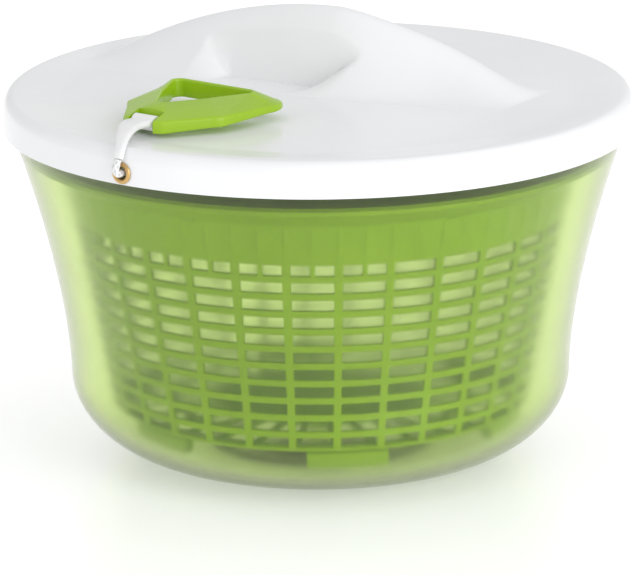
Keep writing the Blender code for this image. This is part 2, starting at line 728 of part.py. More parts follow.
def make_screws(group):
    for index, place in enumerate(case_places()):
        make_screw(f"case_screw_{index + 1}", CASE_LUG_Z - GAP, PLATE_Z, place, group)
    for index, place in enumerate(cover_post_places()):
        make_screw(f"cover_screw_{index + 1}", PLATE_Z - GAP, PLATE_TOP_Z + COVER_SCREW_LENGTH, place, group)
    for index in range(HUB_SCREWS):
        place = polar(HUB_SCREW_REACH, 2 * math.pi * index / HUB_SCREWS, 0.0)
        make_screw(f"hub_screw_{index + 1}", DISC_Z - GAP, HUB_FLANGE_Z + HUB_FLANGE_HEIGHT * 0.8, place, group)
    make_screw("retaining_screw", WASHER_Z - GAP, AXLE_BOTTOM_Z + AXLE_BORE_DEPTH - 0.001, (0, 0), group,
               head=WASHER_RADIUS * 0.75, shank=AXLE_BORE_RADIUS - GAP)


def make_axle(group):
    top = PLATE_TOP_Z - GAP
    profile = [
        (0.0, top), (AXLE_RADIUS - 0.0005, top), (AXLE_RADIUS, top - 0.0005), (AXLE_RADIUS, AXLE_BOTTOM_Z),
        (AXLE_BORE_RADIUS, AXLE_BOTTOM_Z), (AXLE_BORE_RADIUS, AXLE_BOTTOM_Z + AXLE_BORE_DEPTH),
        (0.0, AXLE_BOTTOM_Z + AXLE_BORE_DEPTH),
    ]
    turned("axle", profile, group, "steel", steps=20)
    bore = AXLE_RADIUS + GAP
    turned("drive_washer", ring_profile(WASHER_RADIUS, bore, WASHER_Z, WASHER_Z + WASHER_HEIGHT), group,
           "steel", steps=24)


def make_drive(group, tools):
    bore = AXLE_RADIUS + GAP
    counterbore = PLATE_BOSS_RADIUS + SLIDE_GAP
    boss = PLATE_Z - PLATE_BOSS_DEPTH - SLIDE_GAP
    flange_top = HUB_FLANGE_Z + HUB_FLANGE_HEIGHT
    profile = [
        (HUB_RADIUS, DRUM_TOP_Z), (HUB_RADIUS, flange_top), (HUB_FLANGE_RADIUS, flange_top),
        (HUB_FLANGE_RADIUS, HUB_FLANGE_Z), (bore, HUB_FLANGE_Z), (bore, boss), (counterbore, boss),
        (counterbore, DRUM_TOP_Z),
    ]
    hub = turned("drive_hub", profile, group, "grey_acetal", steps=36)
    rim = DRIVE_RIM_THICKNESS
    disc_profile = [
        (DISC_RADIUS, DISC_Z + DISC_THICKNESS), (DISC_RADIUS, DISC_Z), (bore, DISC_Z),
        (bore, DISC_Z + DISC_THICKNESS), (HUB_FLANGE_RADIUS + rim, DISC_Z + DISC_THICKNESS),
        (HUB_FLANGE_RADIUS + 2 * rim, DISC_Z + DISC_THICKNESS / 2),
        (NOTCH_INNER - 2 * rim, DISC_Z + DISC_THICKNESS / 2), (NOTCH_INNER - rim, DISC_Z + DISC_THICKNESS),
    ]
    disc = turned("drive_disc", disc_profile, group, "inner_white")
    for index in range(HUB_SCREWS):
        place = polar(HUB_SCREW_REACH, 2 * math.pi * index / HUB_SCREWS, 0.0)
        hole = cylinder(f"hub_hole_{index + 1}", SCREW_SHANK + GAP, DISC_Z - 0.001, flange_top + 0.001,
                        tools, place=(place.x, place.y), sides=12)
        cut(hub, hole)
        cut(disc, hole)
    for index in range(LUGS):
        angle = index * 2 * math.pi / LUGS
        reach = NOTCH_INNER + DISC_NOTCH_DEPTH
        notch = box(f"notch_{index + 1}", (2 * DISC_NOTCH_DEPTH, LUG_WIDTH + 4 * SLIDE_GAP, 4 * DISC_THICKNESS),
                    polar(reach, angle, DISC_Z), tools, turn=angle)
        cut(disc, notch)
    shade_round(hub.data)
    shade_round(disc.data)


def make_drum(group):
    bottom = DRUM_BOTTOM_Z
    nose = CASE_FLOOR_Z + CASE_FLOOR + SLIDE_GAP
    step = bottom + SLIDE_GAP
    bearing = HUB_RADIUS + SLIDE_GAP
    profile = [
        (DRUM_RADIUS, DRUM_TOP_Z), (DRUM_RADIUS, DRUM_TOP_Z - DRUM_FLANGE),
        (DRUM_CORE_RADIUS, DRUM_TOP_Z - DRUM_FLANGE), (DRUM_CORE_RADIUS, bottom + DRUM_FLANGE),
        (DRUM_RADIUS, bottom + DRUM_FLANGE), (DRUM_RADIUS, bottom), (DRUM_NOSE_RADIUS, bottom),
        (DRUM_NOSE_RADIUS, nose), (bearing, nose), (bearing, step), (CLUTCH_BORE_RADIUS, step),
        (CLUTCH_BORE_RADIUS, DRUM_TOP_Z),
    ]
    turned("cord_drum", profile, group, "grey_acetal", steps=32)
    coil_low = bottom + DRUM_FLANGE + GAP
    coil_high = DRUM_TOP_Z - DRUM_FLANGE - GAP
    turned("cord_coil", ring_profile(COIL_RADIUS, DRUM_CORE_RADIUS + GAP, coil_low, coil_high), group,
           "white_cord", steps=28)


def make_clutch(group, tools):
    low = DRUM_BOTTOM_Z + 2 * SLIDE_GAP
    high = DRUM_TOP_Z - SLIDE_GAP
    inner = HUB_RADIUS + SLIDE_GAP
    outer = CLUTCH_BORE_RADIUS - SLIDE_GAP
    cage = turned("clutch_cage", ring_profile(outer, inner, low, high), group, "grey_acetal", steps=36)
    middle = (HUB_RADIUS + CLUTCH_BORE_RADIUS) / 2
    seat = low + CLUTCH_SEAT_RISE
    for index in range(ROLLERS):
        angle = 2 * math.pi * (index + 0.5) / ROLLERS
        place = polar(middle, angle, 0.0)
        width = 2 * (ROLLER_RADIUS + GAP)
        centre = (place.x, place.y, (seat + high + 0.001) / 2)
        pocket = box(f"roller_pocket_{index + 1}", (0.009, width, high + CLUTCH_SEAT_RISE - seat), centre, tools, turn=angle)
        cut(cage, pocket)
        cylinder(f"clutch_roller_{index + 1}", ROLLER_RADIUS, seat + GAP, high, group, "steel",
                 place=(place.x, place.y), sides=16)
    shade_round(cage.data)


def make_return_spring(group):
    # A flat strip wound between the drum's nose and the case wall.
    low = CASE_FLOOR_Z + CASE_FLOOR + SLIDE_GAP
    high = DRUM_BOTTOM_Z - SLIDE_GAP
    form = bmesh.new()
    count = SPRING_TURNS * 16
    strip = []
    for index in range(count + 1):
        share = index / count
        radius = SPRING_INNER + (SPRING_OUTER - SPRING_INNER) * share
        angle = 2 * math.pi * SPRING_TURNS * share
        strip.append((form.verts.new(polar(radius, angle, low)), form.verts.new(polar(radius, angle, high))))
    for near, far in zip(strip, strip[1:]):
        form.faces.new((near[0], far[0], far[1], near[1]))
    spring = add_object("return_spring", mesh_from(form, "return_spring"), group, "steel")
    wall = spring.modifiers.new("strip", "SOLIDIFY")
    wall.thickness = SPRING_STRIP
    wall.offset = 0.0
    baked(spring)
    shade_round(spring.data)


def smooth_route(points, count):
    # Evenly spread points on a Catmull-Rom curve through the route.
    ends = [points[0] * 2 - points[1]] + points + [points[-1] * 2 - points[-2]]
    dense = []
    for index in range(1, len(ends) - 2):
        before, start, end, after = ends[index - 1:index + 3]
        for step in range(12):
            t = step / 12
            place = 0.5 * ((2 * start) + (end - before) * t + (2 * before - 5 * start + 4 * end - after) * t ** 2
                           + (3 * start - before - 3 * end + after) * t ** 3)
            dense.append(place)
    dense.append(points[-1])
    lengths = [0.0]
    for near, far in zip(dense, dense[1:]):
        lengths.append(lengths[-1] + (far - near).length)
    route = []
    place = 0
    for index in range(count + 1):
        target = lengths[-1] * index / count
        while place < len(dense) - 2 and lengths[place + 1] < target:
            place += 1
        span = lengths[place + 1] - lengths[place]
        route.append(dense[place].lerp(dense[place + 1], (target - lengths[place]) / span))
    return route


def tube(name, points, radius, group, finish):
    curve = bpy.data.curves.new(name, "CURVE")
    curve.dimensions = "3D"
    curve.bevel_depth = radius
    curve.bevel_resolution = 2
    curve.use_fill_caps = True
    spline = curve.splines.new("POLY")
    spline.points.add(len(points) - 1)
    for point, place in zip(spline.points, points):
        point.co = (place.x, place.y, place.z, 1.0)
    item = bpy.data.objects.new(name, curve)
    group.objects.link(item)
    curve.materials.append(finish_material(finish))
    return item


def pull_place(reach, aside, z):
    return PULL * reach + SIDE * aside + Vector((0, 0, z))


def rim_place(beyond, aside, above):
    return pull_place(LID_RADIUS + beyond, aside, LID_CREST_Z + above)


def make_eyelet(group):
    face = LID_RADIUS + GAP
    back = LID_RADIUS - LID_WALL - GAP
    profile = [
        (EYELET_BORE + 0.0003, face - LID_RADIUS + 0.0010), (EYELET_FLANGE - 0.0006, face - LID_RADIUS + 0.0009),
        (EYELET_FLANGE, face - LID_RADIUS + 0.0004), (EYELET_FLANGE, face - LID_RADIUS),
        (EYELET_BARREL, face - LID_RADIUS), (EYELET_BARREL, back - LID_RADIUS), (EYELET_BORE, back - LID_RADIUS),
        (EYELET_BORE, face - LID_RADIUS + 0.0006),
    ]
    eyelet = turned("eyelet", profile, group, "brass", steps=28)
    aim(eyelet, pull_place(LID_RADIUS, 0.0, EYELET_Z))


def clip_route():
    # Hand-picked places (beyond the rim, aside, above the crest) from the handle's pin over the rim of the lid.
    places = [
        (-PIN_INSIDE_RIM, PIN_ASIDE, PIN_ABOVE_CREST), (-0.0245, -0.0114, 0.0043), (-0.0175, -0.0096, 0.0047),
        (-0.0105, -0.0062, 0.0043), (-0.0040, -0.0027, 0.0027), (0.0007, -0.0004, -0.0006), (0.0023, 0.0, -0.0038),
    ]
    return [rim_place(*place) for place in places]


def lead_route():
    # Hand-picked places, given in the same way, from the eyelet up to the end of the clip.
    places = [
        (0.0, 0.0, EYELET_Z - LID_CREST_Z), (0.0022, 0.0, -0.0100), (0.0036, 0.0, -0.0091),
        (0.0040, 0.0, -0.0076), (0.0033, 0.0, -0.0059), (0.0025, 0.0, -0.0042),
    ]
    return [rim_place(*place) for place in places]


def make_cords(group):
    start, end = cord_line()
    run = [start.lerp(end, index / 16) for index in range(17)]
    tube("cord_run", run, CORD_RADIUS, group, "white_cord")
    tube("cord_lead", smooth_route(lead_route(), 12), CORD_RADIUS, group, "white_cord")


def swept_tongue(route, widths, thickness):
    # A rounded strip along the route, lying flat across it.
    form = bmesh.new()
    rows = []
    for index, place in enumerate(route):
        ahead = route[min(index + 1, len(route) - 1)] - route[max(index - 1, 0)]
        across = Vector((0, 0, 1)).cross(ahead).normalized()
        up = ahead.cross(across).normalized()
        share = index / (len(route) - 1)
        width = widths[0] + (widths[1] - widths[0]) * smooth(share)
        row = []
        for side, high in ((0.5, 0.2), (0.38, 0.5), (-0.38, 0.5), (-0.5, 0.2), (-0.5, -0.2), (-0.38, -0.5),
                           (0.38, -0.5), (0.5, -0.2)):
            row.append(form.verts.new(place + across * (side * width) + up * (high * thickness)))
        rows.append(row)
    for near, far in zip(rows, rows[1:]):
        for side in range(8):
            after = (side + 1) % 8
            form.faces.new((near[side], near[after], far[after], far[side]))
    form.faces.new(rows[0])
    form.faces.new(list(reversed(rows[-1])))
    bmesh.ops.recalc_face_normals(form, faces=form.faces)
    return form


def make_clip(group, tools):
    route = smooth_route(clip_route(), 14)
    form = swept_tongue(route[1:], (CLIP_WIDTH, CLIP_END_WIDTH), CLIP_THICKNESS)
    clip = add_object("cord_clip", mesh_from(form, "cord_clip"), group, "white_cord")
    barrel = cylinder("clip_barrel", CLIP_BARREL, -CLIP_WIDTH / 2, CLIP_WIDTH / 2, tools, sides=24)
    lay_across(barrel)
    cut(clip, barrel, "UNION")
    bore = cylinder("clip_bore", PIN_RADIUS + GAP, -CLIP_WIDTH, CLIP_WIDTH, tools, sides=20)
    lay_across(bore)
    cut(clip, bore)
    shade_round(clip.data)


def lay_across(item):
    # Turns a piece made along Z to lie across the pull at the handle's pin.
    turn = SIDE.to_track_quat("Z", "Y").to_matrix().to_4x4()
    item.matrix_world = Matrix.Translation(pull_place(PIN_REACH, PIN_ASIDE, PIN_Z)) @ turn
    bpy.context.view_layer.update()


def hull_of_circles(circles, inset, sides):
    # The outline round a chain of circles given as (x, y, radius), counter-clockwise, moved in by inset.
    outline = []
    count = len(circles)
    for index, (x, y, radius) in enumerate(circles):
        before = circles[index - 1]
        after = circles[(index + 1) % count]
        first = tangent_turn(before, circles[index])
        last = tangent_turn(circles[index], after)
        while last < first:
            last += 2 * math.pi
        for step in range(sides + 1):
            angle = first + (last - first) * step / sides
            outline.append((x + (radius - inset) * math.cos(angle), y + (radius - inset) * math.sin(angle)))
    return outline


def tangent_turn(start, end):
    # Direction of the outward normal of the outer tangent between two circles.
    dx, dy = end[0] - start[0], end[1] - start[1]
    span = math.hypot(dx, dy)
    return math.atan2(dy, dx) - math.pi / 2 + math.asin((end[2] - start[2]) / span)


def mirrored_chain(half):
    # The apex circle, then the circles of one side and their mirror images, counter-clockwise.
    near = [(x, -y, radius) for x, y, radius in half[1:]]
    far = [(x, y, radius) for x, y, radius in reversed(half[1:])]
    return [half[0]] + near + far


def handle_outlines(inset):
    outer_line = hull_of_circles(mirrored_chain(HANDLE_OUTER), inset, 5)
    hole_line = hull_of_circles(mirrored_chain(HANDLE_HOLE), -inset, 3)
    return outer_line, hole_line


def handle_lift(x):
    # The underside rises towards the grip bar, so that fingers reach under it.
    return max(0.0, x) * math.tan(HANDLE_UNDERCUT)


def handle_rings(form):
    # Closed rings of (outer outline, hole outline) from the underside up to the crown.
    rings = []
    edge = HANDLE_EDGE
    top = HANDLE_EDGE_HEIGHT
    crest = top + HANDLE_CROWN
    levels = ((edge, 0.0, 0.0, 1), (0.0, edge, edge, 1), (0.0, top - edge, crest - edge, 0), (edge, top, crest, 0))
    for inset, outer_z, hole_z, lifted in levels:
        ring = []
        for outline, z in zip(handle_outlines(inset), (outer_z, hole_z)):
            ring.append([form.verts.new((x, y, z + lifted * handle_lift(x))) for x, y in outline])
        rings.append(ring)
    return rings


def make_handle(group, tools):
    form = bmesh.new()
    rings = handle_rings(form)
    for near, far in zip(rings, rings[1:]):
        for low, high, way in ((near[0], far[0], 1), (near[1], far[1], -1)):
            for index in range(len(low)):
                after = (index + 1) % len(low)
                corners = (low[index], low[after], high[after], high[index])
                form.faces.new(corners[::way])
    for ring in (rings[0], rings[-1]):
        loops = []
        for points in ring:
            for index in range(len(points)):
                loops.append(form.edges.get((points[index], points[(index + 1) % len(points)])))
        bmesh.ops.triangle_fill(form, edges=loops, use_beauty=True)
    bmesh.ops.recalc_face_normals(form, faces=form.faces)
    handle = add_object("handle", mesh_from(form, "handle"), group, "apple_green")
    frame = Matrix((-PULL, -SIDE, Vector((0, 0, 1)))).transposed().to_4x4()
    place = pull_place(PIN_REACH, PIN_ASIDE, HANDLE_UNDERSIDE_Z)
    handle.matrix_world = Matrix.Translation(place) @ frame
    bpy.context.view_layer.update()
    notch_reach = CLIP_BARREL + 2 * GAP
    notch = box("clip_notch", (6 * notch_reach, CLIP_WIDTH + 2 * CLIP_CLEARANCE, NOTCH_CUTTER_HEIGHT),
                pull_place(PIN_REACH + 2 * notch_reach, PIN_ASIDE, PIN_Z), tools, turn=PULL_TURN)
    cut(handle, notch)
    half = CLIP_WIDTH / 2 + HANDLE_PIN_SEAT
    pin = cylinder("handle_pin", PIN_RADIUS, -half, half, tools, sides=16)
    lay_across(pin)
    cut(handle, pin, "UNION")
    shade_round(handle.data)
    put_origin(handle, pull_place(PIN_REACH, PIN_ASIDE, PIN_Z))


def put_origin(item, place):
    # Moves a piece's origin to its joint's axis without moving its shape.
    bpy.context.view_layer.update()
    item.data.transform(item.matrix_world)
    item.matrix_world = Matrix.Translation(place)
    item.data.transform(Matrix.Translation(-place))
    bpy.context.view_layer.update()


def build():
    clear_scene()
    group = make_collection("salad_spinner")
    tools = make_collection("cutters")
    make_bowl(group)
    make_foot_ring(group)
    make_basket(group, tools)
    make_lid_cover(group, tools)
    make_lid_plate(group, tools)
    make_case(group, tools)
    make_screws(group)
    make_axle(group)
    make_drive(group, tools)
    make_drum(group)
    make_clutch(group, tools)
    make_return_spring(group)
    make_eyelet(group)
    make_cords(group)
    make_clip(group, tools)
    make_handle(group, tools)


build()
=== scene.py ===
import math

import bmesh
import bpy
from mathutils import Matrix, Vector
from mathutils.geometry import delaunay_2d_cdt


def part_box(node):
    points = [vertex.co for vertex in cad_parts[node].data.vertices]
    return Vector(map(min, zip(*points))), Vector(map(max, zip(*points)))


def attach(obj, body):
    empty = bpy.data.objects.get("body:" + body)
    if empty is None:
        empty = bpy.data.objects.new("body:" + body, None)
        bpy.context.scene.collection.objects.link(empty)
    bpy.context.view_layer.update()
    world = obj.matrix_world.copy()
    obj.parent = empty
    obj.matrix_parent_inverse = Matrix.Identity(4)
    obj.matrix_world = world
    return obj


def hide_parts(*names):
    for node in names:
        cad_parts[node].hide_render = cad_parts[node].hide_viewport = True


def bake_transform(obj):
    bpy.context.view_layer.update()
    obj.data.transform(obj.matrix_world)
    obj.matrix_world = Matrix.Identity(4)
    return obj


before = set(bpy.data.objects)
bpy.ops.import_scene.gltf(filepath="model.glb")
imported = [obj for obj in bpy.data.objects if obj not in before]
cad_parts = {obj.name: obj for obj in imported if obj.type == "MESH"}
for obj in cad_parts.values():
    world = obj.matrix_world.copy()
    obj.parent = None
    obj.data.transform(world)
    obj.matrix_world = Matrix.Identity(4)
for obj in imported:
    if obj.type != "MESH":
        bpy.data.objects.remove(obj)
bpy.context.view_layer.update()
print("frame loaded")


def clamp(value):
    return min(1.0, max(0.0, value))


def smooth(value):
    value = clamp(value)
    return value * value * (3.0 - 2.0 * value)


def around(radius, angle, z=0.0):
    return Vector((radius * math.cos(angle), radius * math.sin(angle), z))


def hexColour(code):
    # sRGB hex to the linear colour that the shader wants
    parts = [int(code[place:place + 2], 16) / 255 for place in (1, 3, 5)]
    return tuple(v / 12.92 if v <= 0.04045 else ((v + 0.055) / 1.055) ** 2.4 for v in parts) + (1.0,)


def addNode(tree, kind, settings=None, links=None):
    # settings: attributes or input values by name; links: input name -> output socket
    node = tree.nodes.new(kind)
    for name, value in (settings or {}).items():
        if isinstance(name, str) and hasattr(node, name):
            setattr(node, name, value)
        else:
            node.inputs[name].default_value = value
    for name, socket in (links or {}).items():
        tree.links.new(socket, node.inputs[name])
    return node


def newMaterial(name):
    material = bpy.data.materials.new(name)
    material.use_nodes = True
    tree = material.node_tree
    return material, tree, tree.nodes["Principled BSDF"]


def setSockets(shader, values):
    for name, value in values.items():
        shader.inputs[name].default_value = value


def dropMaterials(mesh, material):
    mesh.materials.clear()
    mesh.materials.append(material)
    for polygon in mesh.polygons:
        polygon.material_index = 0


def showObject(name, mesh, material):
    dropMaterials(mesh, material)
    item = bpy.data.objects.new(name, mesh)
    bpy.context.scene.collection.objects.link(item)
    return item


def meshFrom(form, name):
    mesh = bpy.data.meshes.new(name)
    form.to_mesh(mesh)
    form.free()
    return mesh


def settle(item):
    # the evaluated mesh takes the place of the object's modifiers
    bpy.context.view_layer.update()
    graph = bpy.context.evaluated_depsgraph_get()
    mesh = bpy.data.meshes.new_from_object(item.evaluated_get(graph), depsgraph=graph)
    item.modifiers.clear()
    item.data = mesh
    return item


def finishEdges(item, degrees=35):
    item.data.shade_smooth()
    item.data.set_sharp_from_angle(angle=math.radians(degrees))


def turnedForm(profile, steps, closed=True):
    # spins (radius, z) points round Z; the profile runs down the outside, then up the inside
    form = bmesh.new()
    rings = []
    for radius, z in profile:
        if radius < 1e-6:
            rings.append([form.verts.new((0, 0, z))] * steps)
        else:
            rings.append([form.verts.new(around(radius, 2 * math.pi * k / steps, z)) for k in range(steps)])
    pairs = list(zip(rings, rings[1:] + rings[:1])) if closed else list(zip(rings, rings[1:]))
    for upper, lower in pairs:
        for k in range(steps):
            after = (k + 1) % steps
            corners = []
            for vert in (upper[k], lower[k], lower[after], upper[after]):
                if vert not in corners:
                    corners.append(vert)
            if len(corners) > 2:
                form.faces.new(corners)
    return form


# ---- camera first, at the catalogue angle; the pale floor and soft lights are made at the end
studio = {"distance": 3.0, "elevation": 14.77, "roll": -0.43, "aimHeight": 0.0707, "lens": 400.10625}


def makeCamera():
    data = bpy.data.cameras.new("camera")
    item = bpy.data.objects.new("camera", data)
    bpy.context.scene.collection.objects.link(item)
    data.sensor_width = 36.0
    data.lens = studio["lens"]
    data.clip_end = 50.0
    lean = math.radians(studio["elevation"])
    look = Vector((0, math.cos(lean), -math.sin(lean)))
    place = Vector((0, 0, studio["aimHeight"])) - look * studio["distance"]
    turn = look.to_track_quat("-Z", "Y").to_matrix().to_4x4()
    item.matrix_world = Matrix.Translation(place) @ turn @ Matrix.Rotation(math.radians(studio["roll"]), 4,
                                                                           "Z")
    bpy.context.scene.camera = item


makeCamera()


# the pull cord leaves the lid's skirt this way round, and its clip and handle are placed by reach along
# that way
pull = {"turn": math.radians(232.8), "eyeletZ": 0.1470, "holeRadius": 0.0037, "cordRadius": 0.0015}
pullWay = around(1, pull["turn"])
sideWay = Vector((-pullWay.y, pullWay.x, 0))


def pullPlace(reach, aside, z):
    return pullWay * reach + sideWay * aside + Vector((0, 0, z))


# ---- lid cover: a moulded shell, its height worked out from the ridge and the finger pocket
lid = {
    "crestInset": 0.0043, "wall": 0.0020, "dishDepth": 0.0016, "dishWidth": 0.022,
    "ridgeTurn": math.radians(31.6), "ridgeAhead": -0.0192, "ridgeBend": 0.0112, "bendAlong": 0.060,
    "rise": 0.0327, "leftHalf": 0.1165, "rightHalf": 0.0835, "rightPower": 1.41,
    "frontReach": 0.0297, "backReach": 0.0252, "edgeFade": 0.022,
    "pocketBack": -0.0085, "pocketLeft": -0.0585, "pocketRight": 0.0175, "leftSplay": 0.39,
    "rightSplay": 0.88,
    "backRun": 0.0022, "leftRun": 0.0115, "rightRun": 0.0160, "pocketLength": 0.0195, "grid": 0.00135,
    "spokes": 300,
}
lidLow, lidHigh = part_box("lid_cover")
lidRadius = (lidHigh[0] - lidLow[0]) / 2
skirtZ = lidLow[2]
crestZ = skirtZ + 0.015
crestRadius = lidRadius - lid["crestInset"]


def ridgePlace(x, y):
    along = x * math.cos(lid["ridgeTurn"]) - y * math.sin(lid["ridgeTurn"])
    ahead = -x * math.sin(lid["ridgeTurn"]) - y * math.cos(lid["ridgeTurn"])
    return along, ahead


def humpHeight(x, y):
    along, ahead = ridgePlace(x, y)
    if along > 0:
        crest = lid["rise"] * max(0.0, 1 - (along / lid["rightHalf"]) ** lid["rightPower"])
    else:
        crest = lid["rise"] * max(0.0, 1 - (along / lid["leftHalf"]) ** 2)
    beyond = ahead - lid["ridgeAhead"] + lid["ridgeBend"] * smooth(along / lid["bendAlong"])
    reach = lid["frontReach"] if beyond > 0 else lid["backReach"]
    edge = smooth((crestRadius - math.hypot(x, y)) / lid["edgeFade"])
    return crest * math.cos(math.pi / 2 * clamp(abs(beyond) / reach)) ** 2 * edge


def pocketDepth(x, y):
    along, ahead = ridgePlace(x, y)
    behind = ahead - lid["pocketBack"]
    left = along - lid["pocketLeft"] + lid["leftSplay"] * behind
    right = lid["pocketRight"] - lid["rightSplay"] * behind - along
    return clamp(behind / lid["backRun"]) * clamp(left / lid["leftRun"]) * clamp(right / lid["rightRun"])


def lidHeight(x, y):
    inset = crestRadius - math.hypot(x, y)
    base = crestZ - lid["dishDepth"] * smooth(inset / lid["dishWidth"])
    return base + humpHeight(x, y) * (1 - pocketDepth(x, y))


def pocketLines():
    # the pocket's creases, as (along, ahead) ends: back wall, left side and right side, top and foot of each
    length, back, run = lid["pocketLength"], lid["pocketBack"], lid["backRun"]
    leftTop, rightTop = lid["pocketLeft"], lid["pocketRight"]
    leftFoot, rightFoot = leftTop + lid["leftRun"], rightTop - lid["rightRun"]
    lines = [((leftTop, back), (rightTop, back)),
             ((leftFoot - lid["leftSplay"] * run, back + run),
              (rightFoot - lid["rightSplay"] * run, back + run))]
    for place, splay, start in ((leftTop, -lid["leftSplay"], 0), (leftFoot, -lid["leftSplay"], run),
                                (rightTop, -lid["rightSplay"], 0), (rightFoot, -lid["rightSplay"], run)):
        lines.append(((place + splay * start, back + start), (place + splay * length, back + length)))
    return [(Vector(start), Vector(end)) for start, end in lines]


def clearOf(point, lines, reach):
    for start, end in lines:
        share = clamp((point - start).dot(end - start) / (end - start).length_squared)
        if (start.lerp(end, share) - point).length < reach:
            return False
    return True


def lidTop(form):
    # a fine even grid, triangulated so that its edges run along the pocket's creases and the round rim
    lines, grid, spokes = pocketLines(), lid["grid"], lid["spokes"]
    points = []
    edges = []
    for start, end in lines:
        count = max(2, round((end - start).length / grid))
        for k in range(count + 1):
            points.append(start.lerp(end, k / count))
            if k:
                edges.append((len(points) - 2, len(points) - 1))
    rim = len(points)
    points += [Vector((crestRadius * math.cos(2 * math.pi * k / spokes),
                       crestRadius * math.sin(2 * math.pi * k / spokes)))
               for k in range(spokes)]
    edges += [(rim + k, rim + (k + 1) % spokes) for k in range(spokes)]
    reach = int(crestRadius / grid) + 1
    for row in range(-reach, reach + 1):
        for column in range(-reach, reach + 1):
            point = Vector(((column + row % 2 / 2) * grid, row * grid * 0.87))
            if point.length < crestRadius - grid * 0.8 and clearOf(point, lines, grid * 0.5):
                points.append(point)
    flat, _, faces, origins, _, _ = delaunay_2d_cdt(points, edges, [], 1, 1e-7)
    verts = []
    for point in flat:
        x = point.x * math.cos(lid["ridgeTurn"]) - point.y * math.sin(lid["ridgeTurn"])
        y = -point.x * math.sin(lid["ridgeTurn"]) - point.y * math.cos(lid["ridgeTurn"])
        verts.append(form.verts.new((x, y, lidHeight(x, y))))
    for face in faces:
        form.faces.new([verts[place] for place in face])
    bmesh.ops.recalc_face_normals(form, faces=form.faces)
    if sum(face.normal.z for face in form.faces) < 0:
        bmesh.ops.reverse_faces(form, faces=form.faces)
    return [vert for vert in form.verts if vert.is_boundary]


def lidForm():
    form = bmesh.new()
    ring = sorted(lidTop(form), key=lambda vert: math.atan2(vert.co.y, vert.co.x))
    angles = [math.atan2(vert.co.y, vert.co.x) for vert in ring]
    drop = (crestZ - skirtZ) * 0.4
    levels = []
    for k in range(1, 10):
        turn = math.pi / 18 * k
        levels.append((crestRadius + lid["crestInset"] * math.sin(turn),
                       crestZ - drop * (1 - math.cos(turn))))
    levels.append((lidRadius, skirtZ))
    for radius, z in levels:
        lower = [form.verts.new(around(radius, angle, z)) for angle in angles]
        for k in range(len(ring)):
            after = (k + 1) % len(ring)
            form.faces.new((ring[k], lower[k], lower[after], ring[after]))
        ring = lower
    return form


def rodForm(radius, start, end, sides=32):
    # a closed rod between two points
    form = bmesh.new()
    span = end - start
    turn = span.to_track_quat("Z", "Y").to_matrix().to_4x4()
    bmesh.ops.create_cone(form, cap_ends=True, segments=sides, radius1=radius, radius2=radius,
                          depth=span.length,
                          matrix=Matrix.Translation((start + end) / 2) @ turn)
    return form


def trim(item, form, operation="DIFFERENCE"):
    # cuts or joins a closed form with the Boolean modifier, and settles the result
    tool = bpy.data.objects.new("tool", meshFrom(form, "tool"))
    bpy.context.scene.collection.objects.link(tool)
    modifier = item.modifiers.new("trim", "BOOLEAN")
    modifier.operation = operation
    modifier.object = tool
    settle(item)
    bpy.data.objects.remove(tool)


def makeLid(material):
    item = showObject("lidShell", meshFrom(lidForm(), "lidShell"), material)
    wall = item.modifiers.new("wall", "SOLIDIFY")
    wall.thickness = lid["wall"]
    wall.offset = -1.0
    settle(item)
    eyelet = pullPlace(lidRadius, 0, pull["eyeletZ"])
    trim(item, rodForm(pull["holeRadius"], eyelet - pullWay * 0.006, eyelet + pullWay * 0.006))
    finishEdges(item, 75)
    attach(item, "lid")
    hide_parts("lid_cover")
    print("lid shell made")


# ---- bowl: one turned, frosted wall
bowl = {
    "wall": 0.0022, "floor": 0.0030, "baseRadius": 0.055, "waistRadius": 0.1051, "waistZ": 0.038,
    "rimGap": 0.0025, "flare": 1.55, "pipRadius": 0.0042, "pipTop": 0.0225, "steps": 200,
    "ringRadius": 0.044, "ringWidth": 0.006, "groove": 0.0014,
}
bowlLow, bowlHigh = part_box("bowl")


def bowlRadius(z):
    rise = max(0.0, (z - bowl["waistZ"]) / (bowlHigh[2] - bowl["waistZ"]))
    rim = lidRadius - bowl["rimGap"]
    return bowl["waistRadius"] + (rim - bowl["waistRadius"]) * rise ** bowl["flare"]


